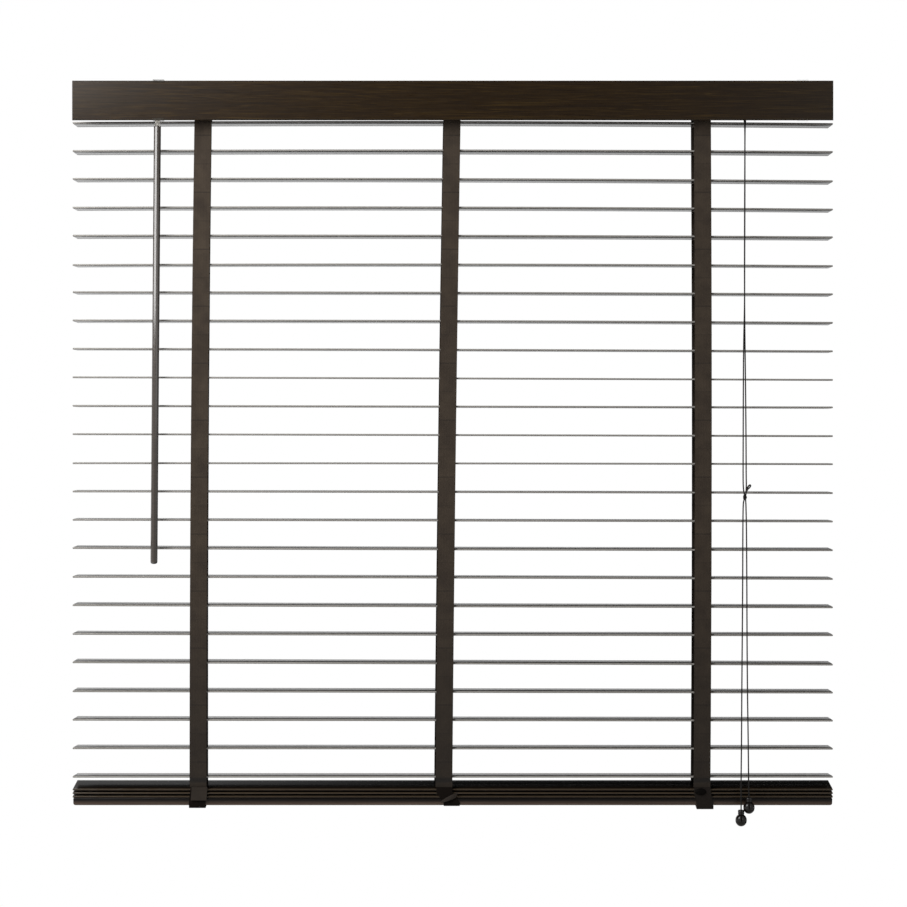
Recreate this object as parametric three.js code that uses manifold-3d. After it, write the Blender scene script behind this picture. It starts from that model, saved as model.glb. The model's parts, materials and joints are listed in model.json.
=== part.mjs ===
// A wood-look venetian blind with 50 mm slats on three woven ladder tapes.
// Millimetres. +X runs along the slats, +Y towards the window, +Z up.
// Origin: midway along the headrail, mid-depth, at the height of its top edge.
import * as THREE from 'three';
import { mergeVertices } from 'three/addons/utils/BufferGeometryUtils.js';
import Module from 'manifold-3d';

const wasm = await Module();
wasm.setup();

// ---- Driving dimensions ----

const GAP = 0.3; // clearance between pieces that touch

const SLAT_LENGTH = 1180;
const SLAT_DEPTH = 50;
const SLAT_THICKNESS = 2.8;
const SLAT_COUNT = 24;
const SLAT_PITCH = 44.17; // rung to rung of the ladder tape
const FIRST_SLAT_DROP = 64; // headrail top edge to the first slat's mid-plane

const SPARE_SLATS = 3; // slats left over at this drop, lying on the bottom rail
const SPARE_DROP = 14.4; // last hanging slat to the first spare slat
const SPARE_PITCH = 5.6; // a slat and the rung under it
const STACK_TILT = THREE.MathUtils.degToRad(6.5); // front edge hangs lower

const RAIL_INSET = 1; // rail ends inside the slats' ends
const RAIL_DEPTH = 49.4;
const RAIL_THICKNESS = 12;
const RAIL_CHAMFER_DEPTH = 4;
const RAIL_CHAMFER_HEIGHT = 5.4;
const RAIL_SEAT = 0.9; // rung left between the last spare slat and the rail

const HEADRAIL_LENGTH = 1168;
const HEADRAIL_TOP = -1.5; // a bracket's plate and its clearance below the window head
const HEADRAIL_DEPTH = 57;
const HEADRAIL_HEIGHT = 38;
const HEADRAIL_WALL = 1.2;
const HEADRAIL_LIP = 6;

const BRACKET_WIDTH = 32;
const BRACKET_WALL = 1.2;
const BRACKET_LIP = 5; // turned over the headrail's front

const VALANCE_LENGTH = 1174;
const VALANCE_HEIGHT = 61;
const VALANCE_THICKNESS = 6;
const VALANCE_BEVEL = 1;
const VALANCE_TOP = -1.5;
const VALANCE_STAND_OFF = 17.5; // headrail front to valance back, room for wand and cords

const CLIP_WIDTH = 17;
const CLIP_WALL = 1.2;
const CLIP_LIP = 3; // how far a lip laps over the valance's face
const CLIP_HOOK = 2; // how far the hook reaches under the headrail's lip
const CLIP_INSET = { left: 130.2, right: 44 }; // headrail's end to the middle of a clip

const TAPE_WIDTH = 26.2;
const TAPE_THICKNESS = 0.7;
const TAPE_SPREAD_DROP = 20; // headrail floor to where the two strips run parallel
const TAPE_LOOP_DROP = 4.8; // slack of the tape's loop under the bottom rail
// Where each ladder hangs: at the headrail, and at the bottom rail it has drifted to.
const LADDERS = {
  left: { top: -387, bottom: -395 },
  middle: { top: -0.5, bottom: -14 },
  right: { top: 386.2, bottom: 387 },
};
const LIFTED_SLATS = 3; // lowest slats that gather when the blind is raised
const RUNG_WIDTH = 24;
const RUNG_BAND = 6;
const RUNG_THICKNESS = 0.8;

const ROD_SIDE = 6; // square tilt rod
const ROD_OVERHANG = 16;
const DRUM_RADIUS = 14;
const DRUM_HUB_RADIUS = 6;
const CRADLE_WALL = 3;
const CRADLE_ROOM = 6; // drum to the cradle's front and back walls
const CRADLE_TOP = -4;
const TAPE_ROOM = 0.8; // tape's edge to the side of its opening

const TILTER_X = -456.6;
const TILTER_WIDTH = 24;
const GEAR_TEETH = 12;
const GEAR_TIP_RADIUS = 10;
const GEAR_ROOT_RADIUS = 8;
const GEAR_WIDTH = 8;
const GEAR_HUB_RADIUS = 5.5;
const GEAR_ROOM = 0.5; // tooth tips to the housing
const WORM_RADIUS = 4.5;
const WORM_ROOT_RADIUS = 3.4;
const WORM_LENGTH = 13;
const WORM_RINGS = 3;
const STEM_RADIUS = 1.8;
const STEM_BALL_RADIUS = 2.6;
const WORM_LEAN = THREE.MathUtils.degToRad(40); // stem leans forward from vertical
const HOOK_STAND_OFF = 9.5; // headrail front to the wand's axis

const WAND_RADIUS = 5.5;
const WAND_SIDES = 8;
const WAND_BOTTOM = -747.6;
const WAND_SHOULDER = -70.3;
const WAND_SPIGOT = 16;
const WAND_TIP = 6;
const WAND_DRIFT = -5.6; // the wand's lower end hangs this far to the side
const SLEEVE_WALL = 1.3;

const CORD_RADIUS = 0.9;
const CORD_SIDES = 8;
const CORD_X = { left: -391, right: 385 }; // where the cords climb through the slats
const CORD_LANE = 2.8; // room under the drums for the cords to run along the floor
const CORD_LANE_Y = { left: -3.2, right: 0 };
const ROUT_LENGTH = 16;
const ROUT_WIDTH = 6;

const LOCK_X = 451.3;
const LOCK_WIDTH = 26;
const LOCK_BACK = -8;
const LOCK_HEIGHT = 26;
const LOCK_NOSE_WIDTH = 14;
const LOCK_NOSE_REACH = 12.5; // beyond the headrail's front
const LOCK_NOSE_HEIGHT = 8;
const LOCK_TUNNEL_WIDTH = 9;
const LOCK_TUNNEL_HEIGHT = 6;
const LOCK_NOSE_WALL = 2.6;
const CORD_EXIT = 8.5; // headrail front to where the cords turn down

const TASSEL_HEIGHT = 25.5;
const TASSEL_RADIUS = 8.9;
const TASSEL_NECK_RADIUS = 4.5;
const TASSEL_BORE_DEPTH = 9;
const CORD_END_CLEARANCE = 2; // cord end to the bottom of the tassel's bore

// ---- Places worked out from the driving dimensions ----

const slatEdgeRadius = SLAT_THICKNESS / 2;
const headrailFront = -HEADRAIL_DEPTH / 2;
const headrailBottom = HEADRAIL_TOP - HEADRAIL_HEIGHT;
const floorTop = headrailBottom + HEADRAIL_WALL;
const innerFront = headrailFront + HEADRAIL_WALL;
const rodZ = floorTop + CORD_LANE + DRUM_RADIUS;
const lastSlatZ = -FIRST_SLAT_DROP - (SLAT_COUNT - 1) * SLAT_PITCH;
const lastSpareZ = lastSlatZ - SPARE_DROP - (SPARE_SLATS - 1) * SPARE_PITCH;
const railZ = lastSpareZ
  - (SLAT_THICKNESS / 2 + RAIL_SEAT + RAIL_THICKNESS / 2) / Math.cos(STACK_TILT);
const railLength = SLAT_LENGTH - 2 * RAIL_INSET;
const railFrontFootZ = railZ
  - (RAIL_DEPTH / 2 - RAIL_CHAMFER_DEPTH) * Math.sin(STACK_TILT)
  - (RAIL_THICKNESS / 2) * Math.cos(STACK_TILT);
const tapeY = SLAT_DEPTH / 2 + GAP + TAPE_THICKNESS / 2;
const tapeLoopZ = railFrontFootZ - TAPE_LOOP_DROP;
const cradleHalfWidth = TAPE_WIDTH / 2 + TAPE_ROOM;
const cradleHalfDepth = DRUM_RADIUS + CRADLE_ROOM;
const valanceBack = headrailFront - VALANCE_STAND_OFF;
const valanceFront = valanceBack - VALANCE_THICKNESS;
const wormCentreDistance = GEAR_TIP_RADIUS + GAP + WORM_RADIUS;
const wandY = headrailFront - HOOK_STAND_OFF;

// ---- Materials ----

function finish(color, roughness, metalness = 0) {
  return new THREE.MeshStandardMaterial({ color, roughness, metalness });
}

const WOOD = finish(0x2e2218, 0.35);
const RAIL_WOOD = finish(0x332319, 0.4);
const WEBBING = finish(0x2b211b, 0.9);
const STEEL = finish(0x3a302a, 0.45, 0.6);
const BARE_STEEL = finish(0x9a9a98, 0.35, 1);
const BROWN_PLASTIC = finish(0x30261f, 0.5);
const WHITE_PLASTIC = finish(0xd8d6d0, 0.5);
const CLEAR_PLASTIC = finish(0xe6e4de, 0.2);
const CORD = finish(0x2a2320, 0.8);
const TASSEL = finish(0x1d1714, 0.2);

// ---- Helpers ----

/** A closed three.js geometry as a manifold solid. */
function solidOf(geometry) {
  const bare = geometry.clone();
  bare.deleteAttribute('normal');
  bare.deleteAttribute('uv');
  const merged = mergeVertices(bare, 1e-4);
  return new wasm.Manifold(new wasm.Mesh({
    numProp: 3,
    vertProperties: new Float32Array(merged.attributes.position.array),
    triVerts: new Uint32Array(merged.index.array),
  }));
}

/** A manifold solid as a three.js geometry. */
function geometryOf(solid) {
  const mesh = solid.getMesh();
  const geometry = new THREE.BufferGeometry();
  geometry.setAttribute('position', new THREE.BufferAttribute(mesh.vertProperties, 3));
  geometry.setIndex(new THREE.BufferAttribute(mesh.triVerts, 1));
  geometry.computeVertexNormals();
  return geometry;
}

/** base with the tools cut away. */
function cut(base, ...tools) {
  return geometryOf(tools.reduce((solid, tool) => solid.subtract(solidOf(tool)), solidOf(base)));
}

/** The union of overlapping geometries. */
function join(base, ...others) {
  return geometryOf(others.reduce((solid, other) => solid.add(solidOf(other)), solidOf(base)));
}

/** A box between two corners. */
function block([x0, y0, z0], [x1, y1, z1]) {
  return new THREE.BoxGeometry(x1 - x0, y1 - y0, z1 - z0)
    .translate((x0 + x1) / 2, (y0 + y1) / 2, (z0 + z1) / 2);
}

/** A cylinder along X, centred on x = 0 at the given y and z. */
function barrel(radius, length, y = 0, z = 0, segments = 24) {
  return new THREE.CylinderGeometry(radius, radius, length, segments)
    .rotateZ(Math.PI / 2).translate(0, y, z);
}

const X_FROM_EXTRUSION = new THREE.Matrix4().makeBasis(
  new THREE.Vector3(0, 1, 0), new THREE.Vector3(0, 0, 1), new THREE.Vector3(1, 0, 0));

/** A (y, z) outline drawn out along X, centred on x = 0. */
function drawnAlongX(outline, length) {
  const shape = outline instanceof THREE.Shape ? outline : new THREE.Shape(outline);
  return new THREE.ExtrudeGeometry(shape, { depth: length, bevelEnabled: false, curveSegments: 4 })
    .translate(0, 0, -length / 2).applyMatrix4(X_FROM_EXTRUSION);
}

function points2(...pairs) {
  return pairs.map(([a, b]) => new THREE.Vector2(a, b));
}

/** A stadium: a bar with half-round ends, long side along the first axis. */
function stadium(length, width) {
  const r = width / 2;
  const reach = length / 2 - r;
  const shape = new THREE.Shape();
  shape.absarc(reach, 0, r, -Math.PI / 2, Math.PI / 2, false);
  shape.absarc(-reach, 0, r, Math.PI / 2, Math.PI * 1.5, false);
  return shape;
}

/** The outline of a ribbon of some thickness along a (y, z) polyline. */
function ribbonOutline(line, thickness) {
  const normals = line.map((p, i) => {
    const before = line[Math.max(i - 1, 0)];
    const after = line[Math.min(i + 1, line.length - 1)];
    const into = p.clone().sub(before).normalize();
    const out = after.clone().sub(p).normalize();
    const along = into.clone().add(out).normalize();
    const straight = into.lengthSq() > 0 ? into : out;
    const stretch = 1 / Math.max(along.dot(straight), 0.5);
    return new THREE.Vector2(-along.y, along.x).multiplyScalar(stretch * thickness / 2);
  });
  const oneSide = line.map((p, i) => p.clone().add(normals[i]));
  const otherSide = line.map((p, i) => p.clone().sub(normals[i])).reverse();
  return [...oneSide, ...otherSide];
}

const blind = new THREE.Group();

function place(name, geometry, material, x = 0, y = 0, z = 0, parent = blind) {
  const mesh = new THREE.Mesh(geometry, material);
  mesh.name = name;
  mesh.position.set(x, y, z);
  parent.add(mesh);
  return mesh;
}

// ---- Headrail: an open steel channel with its lips turned in ----

/** The opening in the headrail floor under one ladder, where its tape comes out. */
function tapeOpening(x) {
  return block(
    [x - cradleHalfWidth, -cradleHalfDepth, headrailBottom - 1],
    [x + cradleHalfWidth, cradleHalfDepth, floorTop + 1]);
}

function wormPoint(along) {
  // along = 0 at the worm's middle, growing down its stem
  return new THREE.Vector3(
    TILTER_X,
    -wormCentreDistance * Math.cos(WORM_LEAN) - along * Math.sin(WORM_LEAN),
    rodZ + wormCentreDistance * Math.sin(WORM_LEAN) - along * Math.cos(WORM_LEAN));
}

const stemLength = (-wandY - wormCentreDistance * Math.cos(WORM_LEAN)) / Math.sin(WORM_LEAN);
const hookZ = wormPoint(stemLength).z;

function headrail() {
  const half = HEADRAIL_DEPTH / 2;
  const inner = half - HEADRAIL_WALL;
  const lip = half - HEADRAIL_LIP;
  const top = HEADRAIL_TOP;
  const lipFoot = top - HEADRAIL_WALL;
  const channel = drawnAlongX(points2(
    [-half, top], [-half, headrailBottom], [half, headrailBottom], [half, top], [lip, top],
    [lip, lipFoot], [inner, lipFoot], [inner, floorTop], [-inner, floorTop],
    [-inner, lipFoot], [-lip, lipFoot], [-lip, top]), HEADRAIL_LENGTH);
  const wallDistance = (-headrailFront - wormCentreDistance * Math.cos(WORM_LEAN))
    / Math.sin(WORM_LEAN);
  const stemHoleZ = wormPoint(wallDistance).z;
  const stemHole = block(
    [TILTER_X - STEM_RADIUS * 2, headrailFront - 1, stemHoleZ - STEM_RADIUS * 3],
    [TILTER_X + STEM_RADIUS * 2, innerFront + 1, stemHoleZ + STEM_RADIUS * 3]);
  const noseHole = block(
    [LOCK_X - LOCK_NOSE_WIDTH / 2 - GAP, headrailFront - 1, floorTop + GAP / 2],
    [LOCK_X + LOCK_NOSE_WIDTH / 2 + GAP, innerFront + 1, floorTop + GAP * 2 + LOCK_NOSE_HEIGHT]);
  const openings = Object.values(LADDERS).map((ladder) => tapeOpening(ladder.top));
  return cut(channel, stemHole, noseHole, ...openings);
}

place('headrail', headrail(), STEEL);

// ---- Brackets: a box round each end of the headrail, screwed to the window head or the wall ----

/** The right bracket; side -1 gives the left one. */
function bracket(side) {
  const w = BRACKET_WALL;
  const [y0, y1] = [headrailFront - GAP - w, -headrailFront + GAP + w];
  const foot = headrailBottom - GAP - w;
  const wrap = drawnAlongX(points2(
    [y0, 0], [y0, -BRACKET_LIP], [y0 + w, -BRACKET_LIP], [y0 + w, -w], [y1 - w, -w],
    [y1 - w, foot + w], [y0 + w, foot + w], [y0 + w, foot + BRACKET_LIP],
    [y0, foot + BRACKET_LIP], [y0, foot], [y1, foot], [y1, 0]), BRACKET_WIDTH);
  const end = block([BRACKET_WIDTH / 2 - w, y0, foot], [BRACKET_WIDTH / 2, y1, 0]);
  const x = HEADRAIL_LENGTH / 2 + GAP + w - BRACKET_WIDTH / 2;
  return join(wrap, side < 0 ? end.translate(w - BRACKET_WIDTH, 0, 0) : end)
    .translate(side * x, 0, 0);
}

place('bracket_left', bracket(-1), STEEL);
place('bracket_right', bracket(1), STEEL);

// ---- Valance: a board held off the headrail by clear clips ----

function valance() {
  const b = VALANCE_BEVEL;
  const [y0, y1] = [valanceFront, valanceBack];
  const [z0, z1] = [VALANCE_TOP - VALANCE_HEIGHT, VALANCE_TOP];
  return drawnAlongX(points2(
    [y0 + b, z0], [y1, z0], [y1, z1], [y0 + b, z1], [y0, z1 - b], [y0, z0 + b]), VALANCE_LENGTH);
}

/** One clip: lips over both edges of the valance, and an arm hooked over the headrail's lip. */
function valanceClip() {
  const t = CLIP_WALL;
  const [front, back] = [valanceFront - GAP, valanceBack + GAP];
  const seat = VALANCE_TOP + GAP;
  const bottom = VALANCE_TOP - VALANCE_HEIGHT - GAP;
  const hookY = headrailFront + HEADRAIL_LIP + GAP;
  const hookTipZ = HEADRAIL_TOP - HEADRAIL_WALL - CLIP_HOOK;
  return drawnAlongX(points2(
    [front - t, seat - CLIP_LIP], [front, seat - CLIP_LIP], [front, seat], [back, seat],
    [back, bottom], [front, bottom], [front, bottom + CLIP_LIP], [front - t, bottom + CLIP_LIP],
    [front - t, bottom - t], [back + t, bottom - t], [back + t, seat], [hookY, seat],
    [hookY, hookTipZ], [hookY + t, hookTipZ], [hookY + t, seat + t], [front - t, seat + t]), CLIP_WIDTH);
}

place('valance', valance(), WOOD);
const clipX = {
  left: CLIP_INSET.left - HEADRAIL_LENGTH / 2,
  right: HEADRAIL_LENGTH / 2 - CLIP_INSET.right,
};
for (const [side, x] of Object.entries(clipX)) {
  place(`valance_clip_${side}`, valanceClip(), CLEAR_PLASTIC, x);
}

// ---- Tilting gear: rod, drums in their cradles, worm drive ----

const rodBoreSide = ROD_SIDE + 2 * GAP;

function rodBore(length) {
  return new THREE.BoxGeometry(length, rodBoreSide, rodBoreSide);
}

function ladderDrum() {
  const body = barrel(DRUM_RADIUS, TAPE_WIDTH, 0, 0, 16);
  const hubLength = 2 * (cradleHalfWidth + CRADLE_WALL + 1);
  return cut(join(body, barrel(DRUM_HUB_RADIUS, hubLength, 0, 0, 16)), rodBore(hubLength + 2));
}

/** A frame on the headrail floor whose end walls carry a drum's hubs. */
function ladderCradle() {
  const [w, d] = [cradleHalfWidth, cradleHalfDepth];
  const [foot, top] = [floorTop + GAP, CRADLE_TOP];
  const outer = block(
    [-w - CRADLE_WALL, -d - CRADLE_WALL, foot], [w + CRADLE_WALL, d + CRADLE_WALL, top]);
  const room = block([-w, -d, foot - 1], [w, d, top + 1]);
  const bearing = barrel(DRUM_HUB_RADIUS + GAP, 3 * w, 0, rodZ);
  const way = block([-2 * w, -DRUM_HUB_RADIUS - GAP, rodZ], [2 * w, DRUM_HUB_RADIUS + GAP, top + 1]);
  const lane = block(
    [-2 * w, Math.min(...Object.values(CORD_LANE_Y)) - 2 * CORD_RADIUS, foot - 1],
    [2 * w, Math.max(...Object.values(CORD_LANE_Y)) + 2 * CORD_RADIUS, floorTop + CORD_LANE - 0.2]);
  return cut(outer, room, bearing, way, lane);
}

for (const [side, { top }] of Object.entries(LADDERS)) {
  place(`ladder_drum_${side}`, ladderDrum(), WHITE_PLASTIC, top, 0, rodZ);
  place(`ladder_cradle_${side}`, ladderCradle(), WHITE_PLASTIC, top);
}

const rodStart = TILTER_X - ROD_OVERHANG;
const rodEnd = LADDERS.right.top + cradleHalfWidth + CRADLE_WALL + ROD_OVERHANG;
place('tilt_rod', new THREE.BoxGeometry(rodEnd - rodStart, ROD_SIDE, ROD_SIDE), BARE_STEEL,
  (rodStart + rodEnd) / 2, 0, rodZ);

function tilterGear() {
  const rim = [];
  const step = (2 * Math.PI) / GEAR_TEETH;
  for (let tooth = 0; tooth < GEAR_TEETH; tooth += 1) {
    const corners = [
      [GEAR_ROOT_RADIUS, -0.3], [GEAR_TIP_RADIUS, -0.13], [GEAR_TIP_RADIUS, 0.13],
      [GEAR_ROOT_RADIUS, 0.3]];
    for (const [radius, share] of corners) {
      const angle = (tooth + share) * step;
      rim.push([radius * Math.cos(angle), radius * Math.sin(angle)]);
    }
  }
  const hubLength = TILTER_WIDTH - 4;
  const wheel = join(drawnAlongX(points2(...rim), GEAR_WIDTH), barrel(GEAR_HUB_RADIUS, hubLength));
  return cut(wheel, rodBore(hubLength + 2));
}

/** Turns a shape made about Y, stem downwards, into the worm's leaning place. */
function leanLikeWorm(geometry) {
  const middle = wormPoint(0);
  return geometry.rotateX(Math.PI / 2).rotateX(-WORM_LEAN)
    .translate(middle.x, middle.y, middle.z);
}

function tilterWorm() {
  const profile = [[0, WORM_LENGTH / 2]];
  const ring = WORM_LENGTH / WORM_RINGS;
  for (let i = 0; i < WORM_RINGS; i += 1) {
    const y = WORM_LENGTH / 2 - i * ring;
    profile.push([WORM_ROOT_RADIUS, y], [WORM_RADIUS, y - ring * 0.35],
      [WORM_RADIUS, y - ring * 0.65]);
  }
  profile.push([WORM_ROOT_RADIUS, -WORM_LENGTH / 2], [STEM_RADIUS, -WORM_LENGTH / 2 - 1]);
  const necks = 5;
  for (let i = 1; i <= necks; i += 1) {
    const angle = THREE.MathUtils.degToRad(45) + (i - 1) * THREE.MathUtils.degToRad(135 / (necks - 1));
    profile.push([
      i === necks ? 0 : STEM_BALL_RADIUS * Math.sin(angle),
      -stemLength + STEM_BALL_RADIUS * Math.cos(angle)]);
  }
  return leanLikeWorm(new THREE.LatheGeometry(points2(...profile).reverse(), 16));
}

function tilterHousing() {
  const half = TILTER_WIDTH / 2;
  const shell = block([-half, innerFront + GAP, floorTop + GAP],
    [half, GEAR_TIP_RADIUS + 5, rodZ + GEAR_TIP_RADIUS + 4]);
  const gearRoom = barrel(GEAR_TIP_RADIUS + GEAR_ROOM, GEAR_WIDTH + 2 * GEAR_ROOM, 0, rodZ);
  const hubBore = barrel(GEAR_HUB_RADIUS + GAP, TILTER_WIDTH + 2, 0, rodZ);
  const boreReach = stemLength;
  const wormBore = leanLikeWorm(
    new THREE.CylinderGeometry(WORM_RADIUS + GAP, WORM_RADIUS + GAP, boreReach, 24)
      .translate(0, WORM_LENGTH / 2 + GAP - boreReach / 2, 0)).translate(-TILTER_X, 0, 0);
  return cut(shell, gearRoom, hubBore, wormBore);
}

place('tilter_gear', tilterGear(), WHITE_PLASTIC, TILTER_X, 0, rodZ);
place('tilter_worm', tilterWorm(), WHITE_PLASTIC);
place('tilter_housing', tilterHousing(), WHITE_PLASTIC, TILTER_X);

// ---- Wand, hung on the worm's ball by a clear sleeve ----

const wandHang = new THREE.Group();
wandHang.position.set(TILTER_X, wandY, hookZ);
wandHang.rotation.y = Math.atan2(-WAND_DRIFT, hookZ - WAND_BOTTOM);
blind.add(wandHang);

function wandSleeve() {
  const bore = STEM_BALL_RADIUS + GAP;
  const [top, bottom] = [GAP, WAND_SHOULDER + GAP - hookZ];
  return new THREE.LatheGeometry(points2(
    [bore, bottom], [bore + SLEEVE_WALL, bottom], [bore + SLEEVE_WALL, top], [bore, top],
    [bore, bottom]), 16).rotateX(Math.PI / 2);
}

function wand() {
  const shoulder = WAND_SHOULDER - hookZ;
  const bottom = WAND_BOTTOM - hookZ;
  return new THREE.LatheGeometry(points2(
    [0, bottom], [WAND_RADIUS * 0.55, bottom + WAND_TIP * 0.15],
    [WAND_RADIUS * 0.9, bottom + WAND_TIP * 0.6], [WAND_RADIUS, bottom + WAND_TIP],
    [WAND_RADIUS, shoulder - 1], [WAND_RADIUS - 1, shoulder],
    [STEM_BALL_RADIUS, shoulder], [STEM_BALL_RADIUS, shoulder + WAND_SPIGOT],
    [0, shoulder + WAND_SPIGOT]), WAND_SIDES).rotateX(Math.PI / 2);
}

place('wand_sleeve', wandSleeve(), CLEAR_PLASTIC, 0, 0, 0, wandHang);
place('wand', wand(), WOOD, 0, 0, 0, wandHang);

// ---- Slats ----

/** A slot through a slat or the rail where a lift cord passes. */
function rout(x, thickness) {
  return new THREE.ExtrudeGeometry(stadium(ROUT_LENGTH, ROUT_WIDTH),
    { depth: thickness + 2, bevelEnabled: false, curveSegments: 3 })
    .translate(x, 0, -thickness / 2 - 1);
}

function slat() {
  const plank = drawnAlongX(stadium(SLAT_DEPTH, SLAT_THICKNESS), SLAT_LENGTH);
  return cut(plank, ...Object.values(CORD_X).map((x) => rout(x, SLAT_THICKNESS)));
}

const slatGeometry = slat();
for (let i = 1; i <= SLAT_COUNT; i += 1) {
  place(`slat_${String(i).padStart(2, '0')}`, slatGeometry, WOOD,
    0, 0, -FIRST_SLAT_DROP - (i - 1) * SLAT_PITCH);
}

// ---- Spare slats and bottom rail, which lie in the tapes' loops and lean together ----

for (let i = 1; i <= SPARE_SLATS; i += 1) {
  place(`spare_slat_${i}`, slatGeometry, WOOD,
    0, 0, lastSlatZ - SPARE_DROP - (i - 1) * SPARE_PITCH).rotation.x = STACK_TILT;
}

function bottomRail() {
  const [d, t] = [RAIL_DEPTH / 2, RAIL_THICKNESS / 2];
  const foot = d - RAIL_CHAMFER_DEPTH;
  const shoulder = -t + RAIL_CHAMFER_HEIGHT;
  const bar = drawnAlongX(points2(
    [-foot, -t], [foot, -t], [d, shoulder], [d, t - 1], [d - 1, t], [-d + 1, t],
    [-d, t - 1], [-d, shoulder]), railLength);
  return cut(bar, ...Object.values(CORD_X).map((x) => rout(x, RAIL_THICKNESS)));
}

place('bottom_rail', bottomRail(), RAIL_WOOD, 0, 0, railZ).rotation.x = STACK_TILT;

// ---- Ladder tapes: a front and a back strip each, and the rungs that can rise ----

/** Sideways drift of a ladder at height z, from its place at the headrail. */
function drift(ladder) {
  return (ladder.bottom - ladder.top) / (tapeLoopZ - headrailBottom);
}

/** One strip from its drum to its loop under the rail. side is -1 in front, 1 behind. */
function tapeStrip(ladder, side) {
  const drumY = DRUM_RADIUS + GAP + TAPE_THICKNESS / 2;
  const spread = headrailBottom - TAPE_SPREAD_DROP;
  const line = points2(
    [side * drumY, rodZ], [side * drumY, floorTop + CORD_LANE],
    [side * tapeY, spread], [side * tapeY, tapeLoopZ], [side * 3, tapeLoopZ]);
  const slope = drift(ladder);
  return drawnAlongX(ribbonOutline(line, TAPE_THICKNESS), TAPE_WIDTH)
    .applyMatrix4(new THREE.Matrix4().makeShear(0, 0, 0, 0, slope, 0))
    .translate(-slope * headrailBottom, 0, 0);
}

for (const [side, ladder] of Object.entries(LADDERS)) {
  place(`tape_front_${side}`, tapeStrip(ladder, -1), WEBBING, ladder.top);
  place(`tape_back_${side}`, tapeStrip(ladder, 1), WEBBING, ladder.top);
}

/** Two narrow bands under a slat, woven into both strips. */
function ladderRung() {
  const half = SLAT_DEPTH / 2;
  const shape = new THREE.Shape(points2(
    [-RUNG_WIDTH / 2, -half], [RUNG_WIDTH / 2, -half], [RUNG_WIDTH / 2, half],
    [-RUNG_WIDTH / 2, half]));
  const slot = RUNG_WIDTH / 2 - RUNG_BAND;
  shape.holes.push(new THREE.Path(points2(
    [-slot, -half + RUNG_BAND], [-slot, half - RUNG_BAND], [slot, half - RUNG_BAND],
    [slot, -half + RUNG_BAND])));
  return new THREE.ExtrudeGeometry(shape, { depth: RUNG_THICKNESS, bevelEnabled: false });
}

for (let i = SLAT_COUNT - LIFTED_SLATS + 1; i <= SLAT_COUNT; i += 1) {
  const z = -FIRST_SLAT_DROP - (i - 1) * SLAT_PITCH;
  const x = LADDERS.middle.top + drift(LADDERS.middle) * (z - headrailBottom);
  place(`ladder_rung_${i}`, ladderRung(), WEBBING,
    x, 0, z - slatEdgeRadius - GAP - RUNG_THICKNESS);
}

// ---- Cord lock ----

function cordLock() {
  const foot = floorTop + GAP;
  const body = block([-LOCK_WIDTH / 2, innerFront + GAP, foot],
    [LOCK_WIDTH / 2, LOCK_BACK, foot + LOCK_HEIGHT]);
  const nose = block([-LOCK_NOSE_WIDTH / 2, headrailFront - LOCK_NOSE_REACH, foot],
    [LOCK_NOSE_WIDTH / 2, innerFront + 2, foot + LOCK_NOSE_HEIGHT]);
  const tunnel = block([-LOCK_TUNNEL_WIDTH / 2, headrailFront - LOCK_NOSE_REACH + LOCK_NOSE_WALL, foot - 1],
    [LOCK_TUNNEL_WIDTH / 2, LOCK_BACK + 1, foot + LOCK_TUNNEL_HEIGHT]);
  return cut(join(body, nose), tunnel);
}

place('cord_lock', cordLock(), WHITE_PLASTIC, LOCK_X);

// ---- Cords: up through the slats, along the headrail, out of the lock, down to a tassel ----

/** A curve through listed points, one step of the extrusion for each. */
class Route extends THREE.Curve {
  constructor(points) {
    super();
    this.points = points.map((p) => new THREE.Vector3(...p));
  }

  getPoint(t) {
    const last = this.points.length - 1;
    const at = Math.min(Math.floor(t * last + 1e-6), last - 1);
    return this.points[at].clone().lerp(this.points[at + 1], t * last - at);
  }

  getPointAt(u) {
    return this.getPoint(u);
  }

  getTangentAt(u) {
    const last = this.points.length - 1;
    const at = Math.round(u * last);
    const before = this.points[Math.max(at - 1, 0)];
    const after = this.points[Math.min(at + 1, last)];
    const here = this.points[at];
    const into = here.clone().sub(before).normalize();
    return after.clone().sub(here).normalize().add(into).normalize();
  }
}

function cordTube(points) {
  const section = new THREE.Shape();
  for (let i = 0; i < CORD_SIDES; i += 1) {
    const angle = (i / CORD_SIDES) * 2 * Math.PI;
    const [x, y] = [CORD_RADIUS * Math.cos(angle), CORD_RADIUS * Math.sin(angle)];
    if (i === 0) section.moveTo(x, y);
    else section.lineTo(x, y);
  }
  return new THREE.ExtrudeGeometry(section,
    { extrudePath: new Route(points), steps: points.length - 1, bevelEnabled: false });
}

const laneZ = floorTop + GAP + CORD_RADIUS;
const tunnelY = headrailFront - CORD_EXIT;

/** From the rail's underside to the lock's mouth. */
function liftRoute(x, laneY, mouthX) {
  return [
    [x, 0, railZ - 2], [x, 0, -600], [x, 0, -80], [x, 0, floorTop - 3],
    [x + 0.3, laneY * 0.3, floorTop - 0.6], [x + 1.4, laneY * 0.8, laneZ - 0.4],
    [x + 3.6, laneY, laneZ], [x + 20, laneY, laneZ], [mouthX - 7, laneY, laneZ],
    [mouthX - 1.8, laneY - 1, laneZ + 0.3], [mouthX, laneY - 4, laneZ + 0.9],
    [mouthX, -22, laneZ + 2.4], [mouthX, tunnelY + 3.4, laneZ + 3],
    [mouthX, tunnelY + 0.9, laneZ + 2], [mouthX, tunnelY, laneZ - 0.6]];
}

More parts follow.
